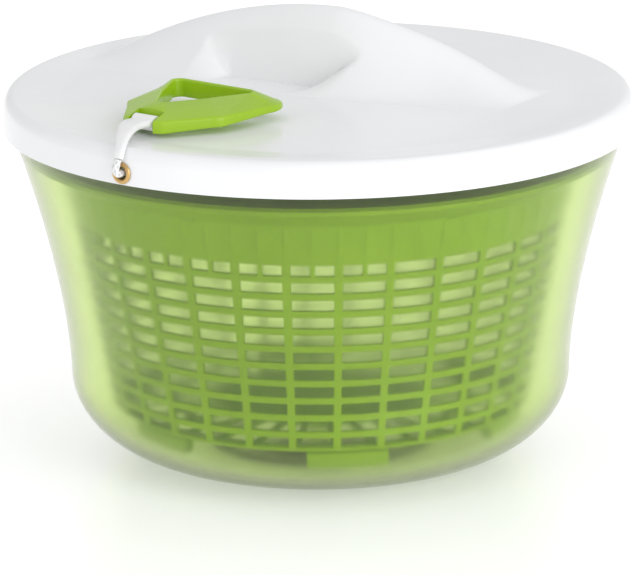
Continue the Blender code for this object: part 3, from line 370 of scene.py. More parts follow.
def bowlProfile():
    lift, rim, edge = bowlLow[2], bowlHigh[2], bowl["wall"] / 2
    outer = [(bowlRadius(rim) - edge + edge * math.sin(a), rim - edge + edge * math.cos(a))
             for a in (0, math.pi / 8, math.pi / 4, 3 * math.pi / 8)]
    heights = [rim - edge - (rim - edge - bowl["waistZ"]) * k / 24 for k in range(25)]
    outer += [(bowlRadius(z), z) for z in heights]
    inner = [(bowlRadius(z) - bowl["wall"], z) for z in heights]
    floorZ = lift + bowl["floor"]
    for k in range(1, 17):
        turn = math.pi / 32 * k
        reach = bowl["waistRadius"] - bowl["baseRadius"]
        outer.append((bowl["baseRadius"] + reach * math.cos(turn),
                      lift + (bowl["waistZ"] - lift) * (1 - math.sin(turn))))
        reach -= bowl["wall"]
        inner.append((bowl["baseRadius"] + reach * math.cos(turn),
                      floorZ + (bowl["waistZ"] - floorZ) * (1 - math.sin(turn))))
    groovePlaces = (bowl["ringRadius"] + bowl["ringWidth"] / 2 + 0.0003,
                    bowl["ringRadius"] - bowl["ringWidth"] / 2 - 0.0003)
    under = [(groovePlaces[0], lift), (groovePlaces[0], lift + bowl["groove"]),
             (groovePlaces[1], lift + bowl["groove"]),
             (groovePlaces[1], lift), (0, lift)]
    pip = [(0, bowl["pipTop"])]
    for k in range(1, 7):
        turn = math.pi / 12 * k
        pip.append((bowl["pipRadius"] * math.sin(turn),
                    bowl["pipTop"] - bowl["pipRadius"] * (1 - math.cos(turn))))
    pip += [(bowl["pipRadius"], floorZ + 0.004), (bowl["pipRadius"] + 0.0008, floorZ + 0.0016),
            (bowl["pipRadius"] + 0.003, floorZ)]
    return outer + under + pip + inner[::-1]


def makeBowl(material):
    item = showObject("bowlShell", meshFrom(turnedForm(bowlProfile(), bowl["steps"]), "bowlShell"), material)
    finishEdges(item, 40)
    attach(item, "bowl")
    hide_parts("bowl")
    print("bowl made")


# ---- basket: one moulding; Geometry Nodes set its sectors, feet and lugs round the axis
basket = {
    "columns": 30, "turn": math.radians(4.3), "rib": math.radians(2.0), "midRib": math.radians(1.2),
    "rows": 11, "slotHeight": 0.00485, "bar": 0.0029, "firstZ": 0.0249, "wall": 0.0018,
    "floorZ": 0.0230, "floorRadius": 0.0870, "taper": 0.197, "fluteHeight": 0.0150, "fluteDepth": 0.0009,
    "rimZ": 0.1340, "rimRadius": 0.1195, "lip": 0.0012, "edge": 0.00035,
    "cycle": 15, "splitColumns": 10, "splitStart": 9, "floorSlots": (0.0790, 0.0645, 0.0600, 0.0450),
    "footTurn": math.radians(7.5), "footAngle": math.radians(23), "footHeight": 0.0070,
    "footRadii": (0.0800, 0.0855),
    "lugWidth": 0.0070, "lugHeights": (0.1235, 0.1312), "lugInner": 0.1015, "socketDepth": 0.012,
    "socketWall": 0.003,
}
slotStep = basket["slotHeight"] + basket["bar"]
fluteLow = basket["firstZ"] + basket["rows"] * slotStep
fluteHigh = fluteLow + basket["fluteHeight"]
socketBore = bowl["pipRadius"] + 0.0005


def basketRadius(z):
    straight = basket["floorRadius"] + basket["taper"] * (z - basket["floorZ"])
    if z <= fluteHigh:
        return straight
    rise = (z - fluteHigh) / (basket["rimZ"] - fluteHigh)
    return straight + (basket["rimRadius"] - straight) * smooth(0.25 + 0.75 * rise)


def basketLines():
    # (radius, z, kind) from the lip down the wall and in across the floor
    lines = [(basket["rimRadius"] + basket["lip"], basket["rimZ"] - 0.0012, "wall"),
             (basket["rimRadius"] + basket["lip"], basket["rimZ"] - 0.0003, "wall"),
             (basket["rimRadius"] + basket["lip"] - 0.0004, basket["rimZ"], "wall"),
             (basket["rimRadius"] + 0.0006, basket["rimZ"], "wall"),
             (basket["rimRadius"], basket["rimZ"] - 0.0006, "wall")]
    for k in range(1, 8):
        z = basket["rimZ"] + (fluteHigh - basket["rimZ"]) * k / 8
        lines.append((basketRadius(z), z, "wall"))
    for k in range(12):
        z = fluteHigh + (fluteLow + 0.0012 - fluteHigh) * k / 12
        lines.append((basketRadius(z), z, "flute"))
    for row in reversed(range(basket["rows"])):
        low = basket["firstZ"] + row * slotStep
        kind = "splitSlot" if row == basket["rows"] - 1 else "slot"
        lines += [(basketRadius(low + basket["slotHeight"]), low + basket["slotHeight"], kind),
                  (basketRadius(low), low, "wall")]
    floorRadius, floorZ = basket["floorRadius"], basket["floorZ"]
    lines += [(floorRadius - 0.0003, floorZ + 0.0010, "wall"),
              (floorRadius - 0.0012, floorZ + 0.0003, "wall"),
              (floorRadius - 0.0024, floorZ, "floor")]
    for place, radius in enumerate(basket["floorSlots"]):
        lines.append((radius, floorZ, "floor" if place % 2 else "floorSlot"))
    return lines + [(socketBore + basket["socketWall"], floorZ, "floor")]


def sectorColumns(radius, kind):
    # angles from one rib's middle to the next; the ribs keep their width across the floor
    pitch = 2 * math.pi / basket["columns"]
    half, mid = basket["rib"] / 2, basket["midRib"] / 2
    if kind in ("floor", "floorSlot"):
        half = min(half * basket["floorRadius"] / radius, pitch * 0.2)
    middle = pitch / 2
    near = (0, half * 0.6, half, (half + middle - mid) / 2, middle - mid)
    return near + (middle,) + tuple(pitch - angle for angle in reversed(near))


def sectorForm(splitTop):
    # the basket's skin from rib to rib, with one slot in each row left open
    form = bmesh.new()
    lines = basketLines()
    rings = []
    for radius, z, kind in lines:
        ring = []
        share = clamp((z - fluteLow) / basket["fluteHeight"])
        swell = basket["fluteDepth"] * math.sin(math.pi * share) ** 0.7
        for place, angle in enumerate(sectorColumns(radius, kind)):
            crest = place in (0, 5, 10) and kind == "flute"
            ring.append(form.verts.new(around(radius + (swell if crest else 0), angle, z)))
        rings.append(ring)
    for (radius, z, kind), upper, lower in zip(lines, rings, rings[1:]):
        for place in range(10):
            onRib = place in (0, 1, 8, 9)
            onMid = place in (4, 5)
            if kind == "splitSlot" and not onRib and not (onMid and splitTop):
                continue
            if kind in ("slot", "floorSlot") and not onRib:
                continue
            form.faces.new((upper[place], lower[place], lower[place + 1], upper[place + 1]))
    centre = form.verts.new((0, 0, basket["floorZ"]))
    for near, far in zip(rings[-1], rings[-1][1:]):
        form.faces.new((near, centre, far))
    return form


def blockForm(inner, outer, low, high, width, steps):
    # a block bent round the axis and centred on +X; inner and outer are (low, high) radii
    form = bmesh.new()
    rows = []
    for k in range(steps + 1):
        angle = width * (k / steps - 0.5)
        corners = ((outer[0], low), (outer[1], high), (inner[1], high), (inner[0], low))
        rows.append([form.verts.new(around(radius, angle, z)) for radius, z in corners])
    for near, far in zip(rows, rows[1:]):
        for side in range(4):
            form.faces.new((near[side], far[side], far[(side + 1) % 4], near[(side + 1) % 4]))
    form.faces.new(rows[0])
    form.faces.new(rows[-1][::-1])
    bmesh.ops.recalc_face_normals(form, faces=form.faces)
    return form


def ringTree():
    # sets copies of a piece round Z; in each cycle the first few may be another piece
    tree = bpy.data.node_groups.new("ringOfPieces", "GeometryNodeTree")
    face = tree.interface
    for name, kind, value in (("Piece", "NodeSocketObject", None), ("Other piece", "NodeSocketObject", None),
                              ("Count", "NodeSocketInt", 6), ("First turn", "NodeSocketFloat", 0.0),
                              ("Cycle", "NodeSocketInt", 1), ("Others a cycle", "NodeSocketInt", 0),
                              ("Cycle start", "NodeSocketInt", 0), ("Weld", "NodeSocketFloat", 0.00002),
                              ("Material", "NodeSocketMaterial", None)):
        socket = face.new_socket(name=name, in_out="INPUT", socket_type=kind)
        if value is not None:
            socket.default_value = value
    face.new_socket(name="Geometry", in_out="OUTPUT", socket_type="NodeSocketGeometry")
    given = addNode(tree, "NodeGroupInput").outputs
    index = addNode(tree, "GeometryNodeInputIndex").outputs["Index"]
    points = addNode(tree, "GeometryNodePoints", None, {"Count": given["Count"]})
    step = addNode(tree, "ShaderNodeMath", {"operation": "DIVIDE", 0: 2 * math.pi}, {1: given["Count"]})
    turn = addNode(tree, "ShaderNodeMath", {"operation": "MULTIPLY_ADD"},
                   {0: index, 1: step.outputs[0], 2: given["First turn"]})
    spin = addNode(tree, "ShaderNodeCombineXYZ", None, {"Z": turn.outputs[0]})
    shifted = addNode(tree, "ShaderNodeMath", {"operation": "ADD"}, {0: index, 1: given["Cycle start"]})
    place = addNode(tree, "ShaderNodeMath", {"operation": "MODULO"},
                    {0: shifted.outputs[0], 1: given["Cycle"]})
    other = addNode(tree, "ShaderNodeMath", {"operation": "LESS_THAN"},
                    {0: place.outputs[0], 1: given["Others a cycle"]})
    plain = addNode(tree, "ShaderNodeMath", {"operation": "SUBTRACT", 0: 1.0}, {1: other.outputs[0]})
    join = addNode(tree, "GeometryNodeJoinGeometry")
    for name, chosen in (("Piece", plain), ("Other piece", other)):
        source = addNode(tree, "GeometryNodeObjectInfo", None, {"Object": given[name]})
        copies = addNode(tree, "GeometryNodeInstanceOnPoints", None,
                         {"Points": points.outputs[0], "Selection": chosen.outputs[0],
                          "Instance": source.outputs["Geometry"], "Rotation": spin.outputs[0]})
        tree.links.new(copies.outputs[0], join.inputs[0])
    real = addNode(tree, "GeometryNodeRealizeInstances", None, {"Geometry": join.outputs[0]})
    weld = addNode(tree, "GeometryNodeMergeByDistance", None,
                   {"Geometry": real.outputs[0], "Distance": given["Weld"]})
    finish = addNode(tree, "GeometryNodeSetMaterial", None, {"Geometry": weld.outputs[0],
                                                             "Material": given["Material"]})
    addNode(tree, "NodeGroupOutput", None, {"Geometry": finish.outputs[0]})
    return tree


def setRound(name, tree, material, forms, values):
    # runs the tree on one or two source forms and leaves a plain mesh
    sources = []
    for place, form in enumerate(forms):
        source = bpy.data.objects.new(f"source{place}", meshFrom(form, f"source{place}"))
        bpy.context.scene.collection.objects.link(source)
        sources.append(source)
    item = bpy.data.objects.new(name, bpy.data.meshes.new(name))
    bpy.context.scene.collection.objects.link(item)
    modifier = item.modifiers.new("round", "NODES")
    modifier.node_group = tree
    given = {"Piece": sources[0], "Other piece": sources[-1], "Material": material, **values}
    for socket in tree.interface.items_tree:
        if socket.in_out == "INPUT" and socket.name in given:
            modifier[socket.identifier] = given[socket.name]
    settle(item)
    for source in sources:
        bpy.data.objects.remove(source)
    return item


def joinMeshes(name, items, material):
    # several closed forms of one moulding, kept as one mesh
    form = bmesh.new()
    for item in items:
        form.from_mesh(item.data)
        bpy.data.objects.remove(item)
    return showObject(name, meshFrom(form, name), material)


def makeBasket(material):
    tree = ringTree()
    front = -math.pi / 2
    skin = setRound("basketSkin", tree, material, (sectorForm(False), sectorForm(True)), {
        "Count": basket["columns"], "First turn": front + basket["turn"], "Cycle": basket["cycle"],
        "Others a cycle": basket["splitColumns"], "Cycle start": basket["splitStart"]})
    wall = skin.modifiers.new("wall", "SOLIDIFY")
    wall.thickness = basket["wall"]
    wall.offset = -1.0
    edge = skin.modifiers.new("edge", "BEVEL")
    edge.width = basket["edge"]
    edge.segments = 2
    edge.limit_method = "ANGLE"
    edge.angle_limit = math.radians(50)
    settle(skin)

    foot = blockForm((basket["footRadii"][0],) * 2, (basket["footRadii"][1],) * 2,
                     basket["floorZ"] - basket["footHeight"], basket["floorZ"] - 0.0002,
                     basket["footAngle"], 12)
    bmesh.ops.bevel(foot, geom=foot.edges[:], offset=0.0006, segments=2, affect="EDGES", clamp_overlap=True)
    feet = setRound("feet", tree, material, (foot,), {"Count": 6, "First turn": front + basket["footTurn"]})
    low, high = basket["lugHeights"]
    outer = (basketRadius(low) - basket["wall"] / 2, basketRadius(high) - basket["wall"] / 2)
    lug = blockForm((basket["lugInner"],) * 2, outer, low, high, basket["lugWidth"] / basket["lugInner"], 1)
    bmesh.ops.bevel(lug, geom=lug.edges[:], offset=0.0006, segments=2, affect="EDGES", clamp_overlap=True)
    lugs = setRound("lugs", tree, material, (lug,), {"Count": 6})
    tip, base = basket["floorZ"] - basket["socketDepth"], basket["floorZ"] - 0.0002
    wallOut = socketBore + basket["socketWall"]
    socket = showObject("socket", meshFrom(turnedForm([(wallOut, base), (wallOut, tip + 0.0004),
                                                       (wallOut - 0.0004, tip),
                                                       (socketBore + 0.0004, tip), (socketBore, tip + 0.0004),
                                                       (socketBore, base)], 48), "socket"), material)
    item = joinMeshes("basketBody", [skin, feet, lugs, socket], material)
    finishEdges(item, 40)
    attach(item, "basket")
    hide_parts("basket")
    print("basket made:", len(item.data.polygons), "faces")


# ---- handle: a flat three-cornered loop, its top face falling away from the finger hole
handle = {
    "outer": ((0.0110, 0.0, 0.0165), (0.0260, 0.0135, 0.0135), (0.0490, 0.0215, 0.0090)),
    "hole": ((0.0125, 0.0, 0.0030), (0.0270, 0.0090, 0.0030), (0.0440, 0.0170, 0.0030)),
    "edgeHeight": 0.0056, "crown": 0.0047, "lowEdge": 0.0008, "outerEdge": 0.0014, "crestEdge": 0.0010,
    "clearance": 0.0002, "undercut": math.radians(3.0), "sides": 14,
    "notchWidth": 0.0132, "pinRadius": 0.0018, "pinWidth": 0.0148,
}
pull.update({"pinInside": 0.0305, "pinAside": -0.0115, "pinAbove": 0.0036})
pinReach = lidRadius - pull["pinInside"]
pinPlace = pullPlace(pinReach, pull["pinAside"], crestZ + pull["pinAbove"])


def tangentTurn(start, end):
    dx, dy = end[0] - start[0], end[1] - start[1]
    return math.atan2(dy, dx) - math.pi / 2 + math.asin((end[2] - start[2]) / math.hypot(dx, dy))


def roundOutline(circles, inset):
    # the line round a chain of circles (x, y, radius), moved in by inset
    outline = []
    for place, (x, y, radius) in enumerate(circles):
        first = tangentTurn(circles[place - 1], circles[place])
        last = tangentTurn(circles[place], circles[(place + 1) % len(circles)])
        while last < first:
            last += 2 * math.pi
        for k in range(handle["sides"] + 1):
            angle = first + (last - first) * k / handle["sides"]
            outline.append((x + (radius - inset) * math.cos(angle), y + (radius - inset) * math.sin(angle)))
    return outline


def handleOutline(onHole, inset):
    # the apex circle, then one side's circles and their mirror images
    half = handle["hole"] if onHole else handle["outer"]
    near = [(x, -y, radius) for x, y, radius in half[1:]]
    far = list(reversed(half[1:]))
    return roundOutline([half[0]] + near + far, -inset if onHole else inset)


def handleSection():
    # (on the hole's side, inset, height, on the underside) once round the bar's section, with rounded edges
    low, outer, crest = handle["lowEdge"], handle["outerEdge"], handle["crestEdge"]
    top, high = handle["edgeHeight"], handle["edgeHeight"] + handle["crown"]
    turns = [math.pi / 10 * k for k in range(6)]
    section = [(False, low * (1 - math.sin(a)), low * (1 - math.cos(a)), True) for a in turns]
    section += [(False, outer * (1 - math.cos(a)), top - outer * (1 - math.sin(a)), False) for a in turns]
    section += [(True, crest * (1 - math.sin(a)), high - crest * (1 - math.cos(a)), False) for a in turns]
    return section + [(True, low * (1 - math.cos(a)), low * (1 - math.sin(a)), True) for a in turns]


def handlePlace(x, y, z, under):
    # the underside rises towards the grip bar
    lift = max(0.0, x) * math.tan(handle["undercut"]) if under else 0.0
    floor = crestZ + handle["clearance"]
    return pullPlace(pinReach - x, pull["pinAside"] - y, floor + z + lift)


def makeHandle(material):
    form = bmesh.new()
    rings = []
    for onHole, inset, z, under in handleSection():
        rings.append([form.verts.new(handlePlace(x, y, z, under)) for x, y in handleOutline(onHole, inset)])
    for near, far in zip(rings, rings[1:] + rings[:1]):
        for k in range(len(near)):
            after = (k + 1) % len(near)
            form.faces.new((near[k], near[after], far[after], far[k]))
    bmesh.ops.recalc_face_normals(form, faces=form.faces)
    item = showObject("handleLoop", meshFrom(form, "handleLoop"), material)
    # a notch for the clip's barrel, and the pin across it
    notch = bmesh.new()
    bmesh.ops.create_cube(notch, size=1.0)
    reach = 0.0038
    turn = Matrix((pullWay, sideWay, Vector((0, 0, 1)))).transposed().to_4x4()
    place = pullPlace(pinReach + 2 * reach, pull["pinAside"], crestZ + pull["pinAbove"])
    bmesh.ops.transform(notch, verts=notch.verts, matrix=Matrix.Translation(place) @ turn
                        @ Matrix.Diagonal((6 * reach, handle["notchWidth"], 0.03, 1)))
    trim(item, notch)
    half = sideWay * handle["pinWidth"] / 2
    trim(item, rodForm(handle["pinRadius"], pinPlace - half, pinPlace + half), "UNION")
    finishEdges(item, 40)
    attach(item, "handle")
    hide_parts("handle")
    print("handle made")


# ---- clip, cord lead and eyelet at the rim
cord = {
    "clipWidths": (0.0108, 0.0046), "clipThickness": 0.0030, "barrel": 0.0032, "clipRows": 60,
    "leadRows": 120,
    "sides": 16, "eyeletBore": 0.0026, "eyeletBarrel": 0.0034, "eyeletFlange": 0.0046,
}
# places listed: (beyond the rim, aside, above the crest)
clipRoute = [(-0.0305, -0.0115, 0.0036), (-0.0245, -0.0114, 0.0043), (-0.0175, -0.0096, 0.0047),
             (-0.0105, -0.0062, 0.0043), (-0.0040, -0.0027, 0.0027), (0.0007, -0.0004, -0.0006),
             (0.0023, 0.0, -0.0038)]
leadRoute = [(0.0, 0.0, -0.0100), (0.0022, 0.0, -0.0100), (0.0036, 0.0, -0.0091),
             (0.0040, 0.0, -0.0076), (0.0033, 0.0, -0.0059), (0.0025, 0.0, -0.0042)]


def smoothRoute(places, count):
    # evenly spread points on a smooth curve through the places
    points = [pullPlace(lidRadius + beyond, aside, crestZ + above) for beyond, aside, above in places]
    ends = [points[0] * 2 - points[1]] + points + [points[-1] * 2 - points[-2]]
    dense = []
    for k in range(1, len(ends) - 2):
        before, start, end, after = ends[k - 1:k + 3]
        for step in range(20):
            t = step / 20
            dense.append(0.5 * (2 * start + (end - before) * t
                                + (2 * before - 5 * start + 4 * end - after) * t ** 2
                                + (3 * start - before - 3 * end + after) * t ** 3))
    dense.append(points[-1])
    lengths = [0.0]
    for near, far in zip(dense, dense[1:]):
        lengths.append(lengths[-1] + (far - near).length)
    route = []
    place = 0
    for k in range(count + 1):
        target = lengths[-1] * k / count
        while place < len(dense) - 2 and lengths[place + 1] < target:
            place += 1
        route.append(dense[place].lerp(dense[place + 1],
                                       (target - lengths[place]) / (lengths[place + 1] - lengths[place])))
    return route


def sweptForm(route, section, cap=True):
    # section(share) gives (across, up) offsets; the ends are closed; UVs run round and along, in metres
    form = bmesh.new()
    uv = form.loops.layers.uv.new("along")
    rows = []
    for k, place in enumerate(route):
        ahead = route[min(k + 1, len(route) - 1)] - route[max(k - 1, 0)]
        across = sideWay if abs(ahead.normalized().dot(sideWay)) < 0.9 else pullWay
        across = (across - ahead * across.dot(ahead) / ahead.length_squared).normalized()
        up = ahead.cross(across).normalized()
        rows.append([form.verts.new(place + across * side + up * high) for side,
                     high in section(k / (len(route) - 1))])
    along = 0.0
    for k in range(len(rows) - 1):
        span = (route[k + 1] - route[k]).length
        for side in range(len(rows[k])):
            after = (side + 1) % len(rows[k])
            face = form.faces.new((rows[k][side], rows[k][after], rows[k + 1][after], rows[k + 1][side]))
            round0, round1 = side / len(rows[k]), (side + 1) / len(rows[k])
            for loop, place in zip(face.loops, ((round0, along), (round1, along), (round1, along + span),
                                                (round0, along + span))):
                loop[uv].uv = place
        along += span
    form.faces.new(rows[0][::-1])
    form.faces.new(rows[-1])
    bmesh.ops.recalc_face_normals(form, faces=form.faces)
    return form


def clipSection(share):
    # a flat strip with full round edges, narrowing to the cord
    wide, narrow = cord["clipWidths"]
    width = wide + (narrow - wide) * smooth(share)
    edge = cord["clipThickness"] / 2
    points = []
    for sign, start in ((1, -math.pi / 2), (-1, math.pi / 2)):
        for k in range(7):
            angle = start + math.pi * k / 6
            points.append((sign * (width / 2 - edge) + edge * math.cos(angle), edge * math.sin(angle)))
    return points


def cordSection(share):
    return [(pull["cordRadius"] * math.cos(2 * math.pi * k / cord["sides"]),
             pull["cordRadius"] * math.sin(2 * math.pi * k / cord["sides"])) for k in range(cord["sides"])]


def makeClip(material):
    route = smoothRoute(clipRoute, cord["clipRows"])
    item = showObject("clipStrap", meshFrom(sweptForm(route[4:], clipSection), "clipStrap"), material)
    half = sideWay * cord["clipWidths"][0] / 2
    trim(item, rodForm(cord["barrel"], pinPlace - half, pinPlace + half, 40), "UNION")
    trim(item, rodForm(handle["pinRadius"] + 0.0003, pinPlace - half * 2, pinPlace + half * 2, 32))
    finishEdges(item, 40)
    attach(item, "pull")
    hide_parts("cord_clip")


def makeLead(material):
    route = smoothRoute(leadRoute, cord["leadRows"])
    item = showObject("cordLead", meshFrom(sweptForm(route, cordSection), "cordLead"), material)
    finishEdges(item, 60)
    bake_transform(item)
    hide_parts("cord_lead")


def makeEyelet(material):
    # a rolled metal ring: flange outside, barrel through the wall
    bore, barrel, flange = cord["eyeletBore"], cord["eyeletBarrel"], cord["eyeletFlange"]
    middle, roll = (bore + flange) / 2, (flange - bore) / 2
    profile = [(middle + roll * math.cos(a), 0.0003 + 0.0010 * math.sin(a)) for a in
               (math.pi / 16 * k for k in range(17))]
    profile += [(bore, -lid["wall"] - 0.0003), (barrel, -lid["wall"] - 0.0003), (barrel, 0.0003)]
    form = turnedForm(profile[::-1], 64)
    turn = pullWay.to_track_quat("Z", "Y").to_matrix().to_4x4()
    bmesh.ops.transform(form, verts=form.verts, matrix=Matrix.Translation(pullPlace(lidRadius, 0,
                                                                                    pull["eyeletZ"])) @ turn)
    bmesh.ops.recalc_face_normals(form, faces=form.faces)
    item = showObject("eyeletRing", meshFrom(form, "eyeletRing"), material)
    finishEdges(item, 50)
    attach(item, "lid")
    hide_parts("eyelet")
    print("clip, cord lead and eyelet made")


# ---- materials
def mouldedPlastic(name, look):
    # injection-moulded: a slight flow mottle in tone and gloss, and the fine texture of the mould
    material, tree, shader = newMaterial(name)
    place = addNode(tree, "ShaderNodeTexCoord").outputs["Object"]
    flow = addNode(tree, "ShaderNodeTexNoise", {"Scale": 1 / look["flow"], "Detail": 3.0}, {"Vector": place})
    tone = addNode(tree, "ShaderNodeValToRGB", None, {"Fac": flow.outputs["Fac"]})
    tone.color_ramp.elements[0].position, tone.color_ramp.elements[1].position = 0.3, 0.7
    tone.color_ramp.elements[0].color = hexColour(look["colours"][0])
    tone.color_ramp.elements[1].color = hexColour(look["colours"][1])
    gloss = addNode(tree, "ShaderNodeMapRange", {"From Min": 0.3, "From Max": 0.7,
                                                 "To Min": look["roughness"][0],
                                                 "To Max": look["roughness"][1]},
                    {"Value": flow.outputs["Fac"]})
    tree.links.new(tone.outputs["Color"], shader.inputs["Base Color"])
    tree.links.new(gloss.outputs["Result"], shader.inputs["Roughness"])
    if "bump" in look:
        grain = addNode(tree, "ShaderNodeTexNoise", {"Scale": 1 / look["grain"], "Detail": 2.0},
                        {"Vector": place})
        bump = addNode(tree, "ShaderNodeBump", {"Strength": look["bump"], "Distance": look["grain"] * 0.12},
                       {"Height": grain.outputs["Fac"]})
        tree.links.new(bump.outputs["Normal"], shader.inputs["Normal"])
    setSockets(shader, look.get("sockets", {}))
    return material


def turnedMetal(name, look):
    # fine rings from the lathe round Z, over a faint blotch
    material, tree, shader = newMaterial(name)
    place = addNode(tree, "ShaderNodeTexCoord").outputs["Object"]
    rings = addNode(tree, "ShaderNodeTexWave", {"wave_type": "RINGS", "rings_direction": "Z",
                                                "Scale": look["rings"],
                                                "Distortion": 0.6}, {"Vector": place})
    blotch = addNode(tree, "ShaderNodeTexNoise", {"Scale": 1 / look["blotch"], "Detail": 3.0},
                     {"Vector": place})
    gloss = addNode(tree, "ShaderNodeMapRange", {"To Min": look["roughness"][0],
                                                 "To Max": look["roughness"][1]},
                    {"Value": blotch.outputs["Fac"]})
    bump = addNode(tree, "ShaderNodeBump", {"Strength": look["bump"], "Distance": 0.00005},
                   {"Height": rings.outputs["Fac"]})
    setSockets(shader, {"Base Color": hexColour(look["colour"]), "Metallic": 1.0})
    tree.links.new(gloss.outputs["Result"], shader.inputs["Roughness"])
    tree.links.new(bump.outputs["Normal"], shader.inputs["Normal"])
    return material


def plaitedCord(name, look, useUv):
    # white polyester plait: crossing strands, a strand's width apart, with painted shade in the grooves
    # between strands
    material, tree, shader = newMaterial(name)
    source = addNode(tree, "ShaderNodeTexCoord").outputs["UV" if useUv else "Object"]
    parts = addNode(tree, "ShaderNodeSeparateXYZ", None, {"Vector": source})
    turns = look["strands"] * 2 * math.pi if useUv else 2 * math.pi / look["plait"]
    along = 2 * math.pi / look["plait"]
    waves = []
    for sign in (1, -1):
        first = addNode(tree, "ShaderNodeMath", {"operation": "MULTIPLY", 1: turns}, {0: parts.outputs["X"]})
        second = addNode(tree, "ShaderNodeMath", {"operation": "MULTIPLY_ADD", 1: sign * along},
                         {0: parts.outputs["Y"], 2: first.outputs[0]})
        waves.append(addNode(tree, "ShaderNodeMath", {"operation": "SINE"}, {0: second.outputs[0]}))
    height = addNode(tree, "ShaderNodeMath", {"operation": "MAXIMUM"},
                     {0: waves[0].outputs[0], 1: waves[1].outputs[0]})
    # darker colour where the plait is low: painted shade in the grooves, lighter on the raised strands
    tone = addNode(tree, "ShaderNodeValToRGB", None, {"Fac": height.outputs[0]})
    tone.color_ramp.elements[0].color = hexColour(look["colours"][0])
    tone.color_ramp.elements[1].color = hexColour(look["colours"][1])
    bump = addNode(tree, "ShaderNodeBump", {"Strength": 0.6, "Distance": 0.0002},
                   {"Height": height.outputs[0]})
    tree.links.new(tone.outputs["Color"], shader.inputs["Base Color"])
    tree.links.new(bump.outputs["Normal"], shader.inputs["Normal"])
    setSockets(shader, {"Roughness": 0.7, "Sheen Weight": 0.3})
    return material


# polypropylene, moulded in a polished tool: clean white with a soft gloss
whiteCover = mouldedPlastic("glossWhitePolypropylene", {
    "colours": ("#F4F5F7", "#F9FAFB"), "roughness": (0.16, 0.22), "flow": 0.060, "grain": 0.0011,
    "bump": 0.03,
    "sockets": {"IOR": 1.49, "Subsurface Weight": 0.0}})
# the same plastic left unpolished on the hidden side, coloured darker as painted shade for the parts under
# the lid
whiteInnerPaintedShade = mouldedPlastic("satinWhitePolypropylenePaintedShade", {
    # greys darker than the cover's white: painted shade, not a different plastic
    "colours": ("#E4E6E8", "#ECEDEE"), "roughness": (0.38, 0.46), "flow": 0.040, "grain": 0.0008,
    "bump": 0.12,
    "sockets": {"IOR": 1.49}})
# clarified polypropylene with a sand-blasted face: lets light through and blurs what is behind it; its pale
# green tint is painted green light from the basket, scattered in the frosting
frostedClear = mouldedPlastic("frostedClearPolypropylene", {
    # pale green tint: painted basket-green light; the clarified polypropylene itself is colourless
    "colours": ("#EDFAC0", "#F1FDC9"), "roughness": (0.13, 0.18), "flow": 0.080,
    "sockets": {"IOR": 1.42, "Transmission Weight": 1.0}})
# apple green polypropylene, satin from the tool
greenBasket = mouldedPlastic("appleGreenPolypropylene", {
    "colours": ("#A8C52B", "#B1CE34"), "roughness": (0.34, 0.42), "flow": 0.050, "grain": 0.0009,
    "bump": 0.08,
    "sockets": {"IOR": 1.49}})
# the handle's ABS is glossier and a touch brighter than the basket
greenHandle = mouldedPlastic("appleGreenAbs", {
    "colours": ("#9AC21A", "#A2CA21"), "roughness": (0.24, 0.32), "flow": 0.030, "grain": 0.0007,
    "bump": 0.06,
    "sockets": {"IOR": 1.53}})
# acetal for what slides and turns: milky grey, waxy
greyAcetal = mouldedPlastic("greyAcetal", {
    "colours": ("#B9BDBF", "#C4C7C8"), "roughness": (0.30, 0.38), "flow": 0.020, "grain": 0.0006,
    "bump": 0.10,
    "sockets": {"IOR": 1.48}})
# soft rubber of the foot ring: matt and slightly dusty
greyRubber = mouldedPlastic("greyRubber", {
    "colours": ("#6E7274", "#787C7E"), "roughness": (0.72, 0.82), "flow": 0.012, "grain": 0.0005,
    "bump": 0.35,
    "sockets": {"IOR": 1.52}})
# nylon strap of the clip: white, moulded, satin
whiteNylon = mouldedPlastic("whiteNylonStrap", {
    "colours": ("#F1F2F3", "#F8F8F8"), "roughness": (0.34, 0.42), "flow": 0.012, "grain": 0.0006,
    "bump": 0.10,
    "sockets": {"IOR": 1.53}})
# zinc-plated steel of the axle, screws and spring; brass of the eyelet, gone slightly brown
platedSteel = turnedMetal("zincPlatedSteel", {"colour": "#C3C6CA", "rings": 900, "blotch": 0.004,
                                              "roughness": (0.22, 0.36),
                                              "bump": 0.3})
rolledBrass = turnedMetal("rolledBrass", {"colour": "#D2AE74", "rings": 700, "blotch": 0.003,
                                          "roughness": (0.25, 0.40),
                                          "bump": 0.2})
# the first, darker colour is painted shade for the plait's grooves; the cord itself is plain white
plaitLook = {"strands": 4, "plait": 0.0032, "colours": ("#D9DBDC", "#FAFAFA")}
whiteCord = plaitedCord("plaitedPolyesterCord", plaitLook, True)
woundCord = plaitedCord("woundPolyesterCord", plaitLook, False)

makeLid(whiteCover)
makeBowl(frostedClear)
makeBasket(greenBasket)
makeHandle(greenHandle)
makeClip(whiteNylon)
makeLead(whiteCord)
makeEyelet(rolledBrass)

# the CAD pieces that stay as they are get their finish
finishes = {
    "foot_ring": greyRubber, "lid_plate": whiteInnerPaintedShade, "mech_case": whiteInnerPaintedShade, "drive_hub": greyAcetal,
    "drive_disc": greenBasket, "cord_drum": greyAcetal, "clutch_cage": greyAcetal, "cord_coil": woundCord,
    "cord_run": woundCord,
}
for name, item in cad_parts.items():
    if not item.hide_render:
        dropMaterials(item.data, finishes.get(name, platedSteel))
print("finishes set")


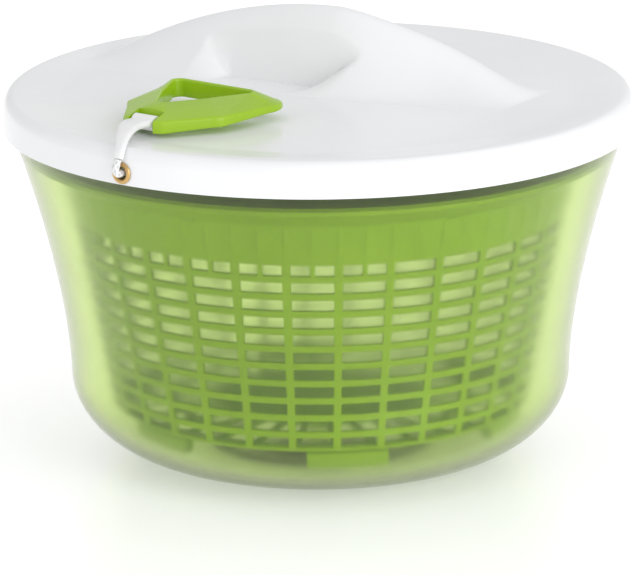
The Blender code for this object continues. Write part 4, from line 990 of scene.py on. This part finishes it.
# ---- floor, world and lights
floorLook = {"size": 6.0, "colour": "#F2F2F3", "roughness": 0.22, "glow": 0.40, "world": 0.76}


def makeFloor():
    material, tree, shader = newMaterial("whiteAcrylicSheet")
    place = addNode(tree, "ShaderNodeTexCoord").outputs["Object"]
    blotch = addNode(tree, "ShaderNodeTexNoise", {"Scale": 4.0, "Detail": 2.0}, {"Vector": place})
    gloss = addNode(tree, "ShaderNodeMapRange", {"To Min": floorLook["roughness"] - 0.03,
                                                 "To Max": floorLook["roughness"] + 0.03},
                    {"Value": blotch.outputs["Fac"]})
    tree.links.new(gloss.outputs["Result"], shader.inputs["Roughness"])
    setSockets(shader, {"Base Color": hexColour(floorLook["colour"]), "IOR": 1.49,
                        "Emission Color": hexColour("#FFFFFF"), "Emission Strength": floorLook["glow"]})
    form = bmesh.new()
    bmesh.ops.create_grid(form, x_segments=2, y_segments=2, size=floorLook["size"] / 2)
    item = showObject("floor", meshFrom(form, "floor"), material)


def makeWorld():
    world = bpy.data.worlds.new("studio")
    bpy.context.scene.world = world
    world.use_nodes = True
    background = world.node_tree.nodes["Background"]
    background.inputs["Color"].default_value = hexColour("#FFFFFF")
    # the backdrop itself is seen as pure white, and lights the piece less strongly
    path = addNode(world.node_tree, "ShaderNodeLightPath")
    strength = addNode(world.node_tree, "ShaderNodeMapRange", {"To Min": floorLook["world"], "To Max": 1.0},
                       {"Value": path.outputs["Is Camera Ray"]})
    world.node_tree.links.new(strength.outputs["Result"], background.inputs["Strength"])


def makeLamp(name, place, target, size, power):
    data = bpy.data.lights.new(name, "AREA")
    data.shape = "RECTANGLE"
    data.size, data.size_y = size
    data.energy = power
    item = bpy.data.objects.new(name, data)
    bpy.context.scene.collection.objects.link(item)
    way = Vector(target) - Vector(place)
    item.matrix_world = Matrix.Translation(place) @ way.to_track_quat("-Z", "Y").to_matrix().to_4x4()


makeFloor()
makeWorld()
makeLamp("keyLamp", (1.5, -1.9, 0.9), (0, 0, 0.10), (1.6, 1.4), 22.0)
bpy.context.scene.view_settings.view_transform = "Standard"
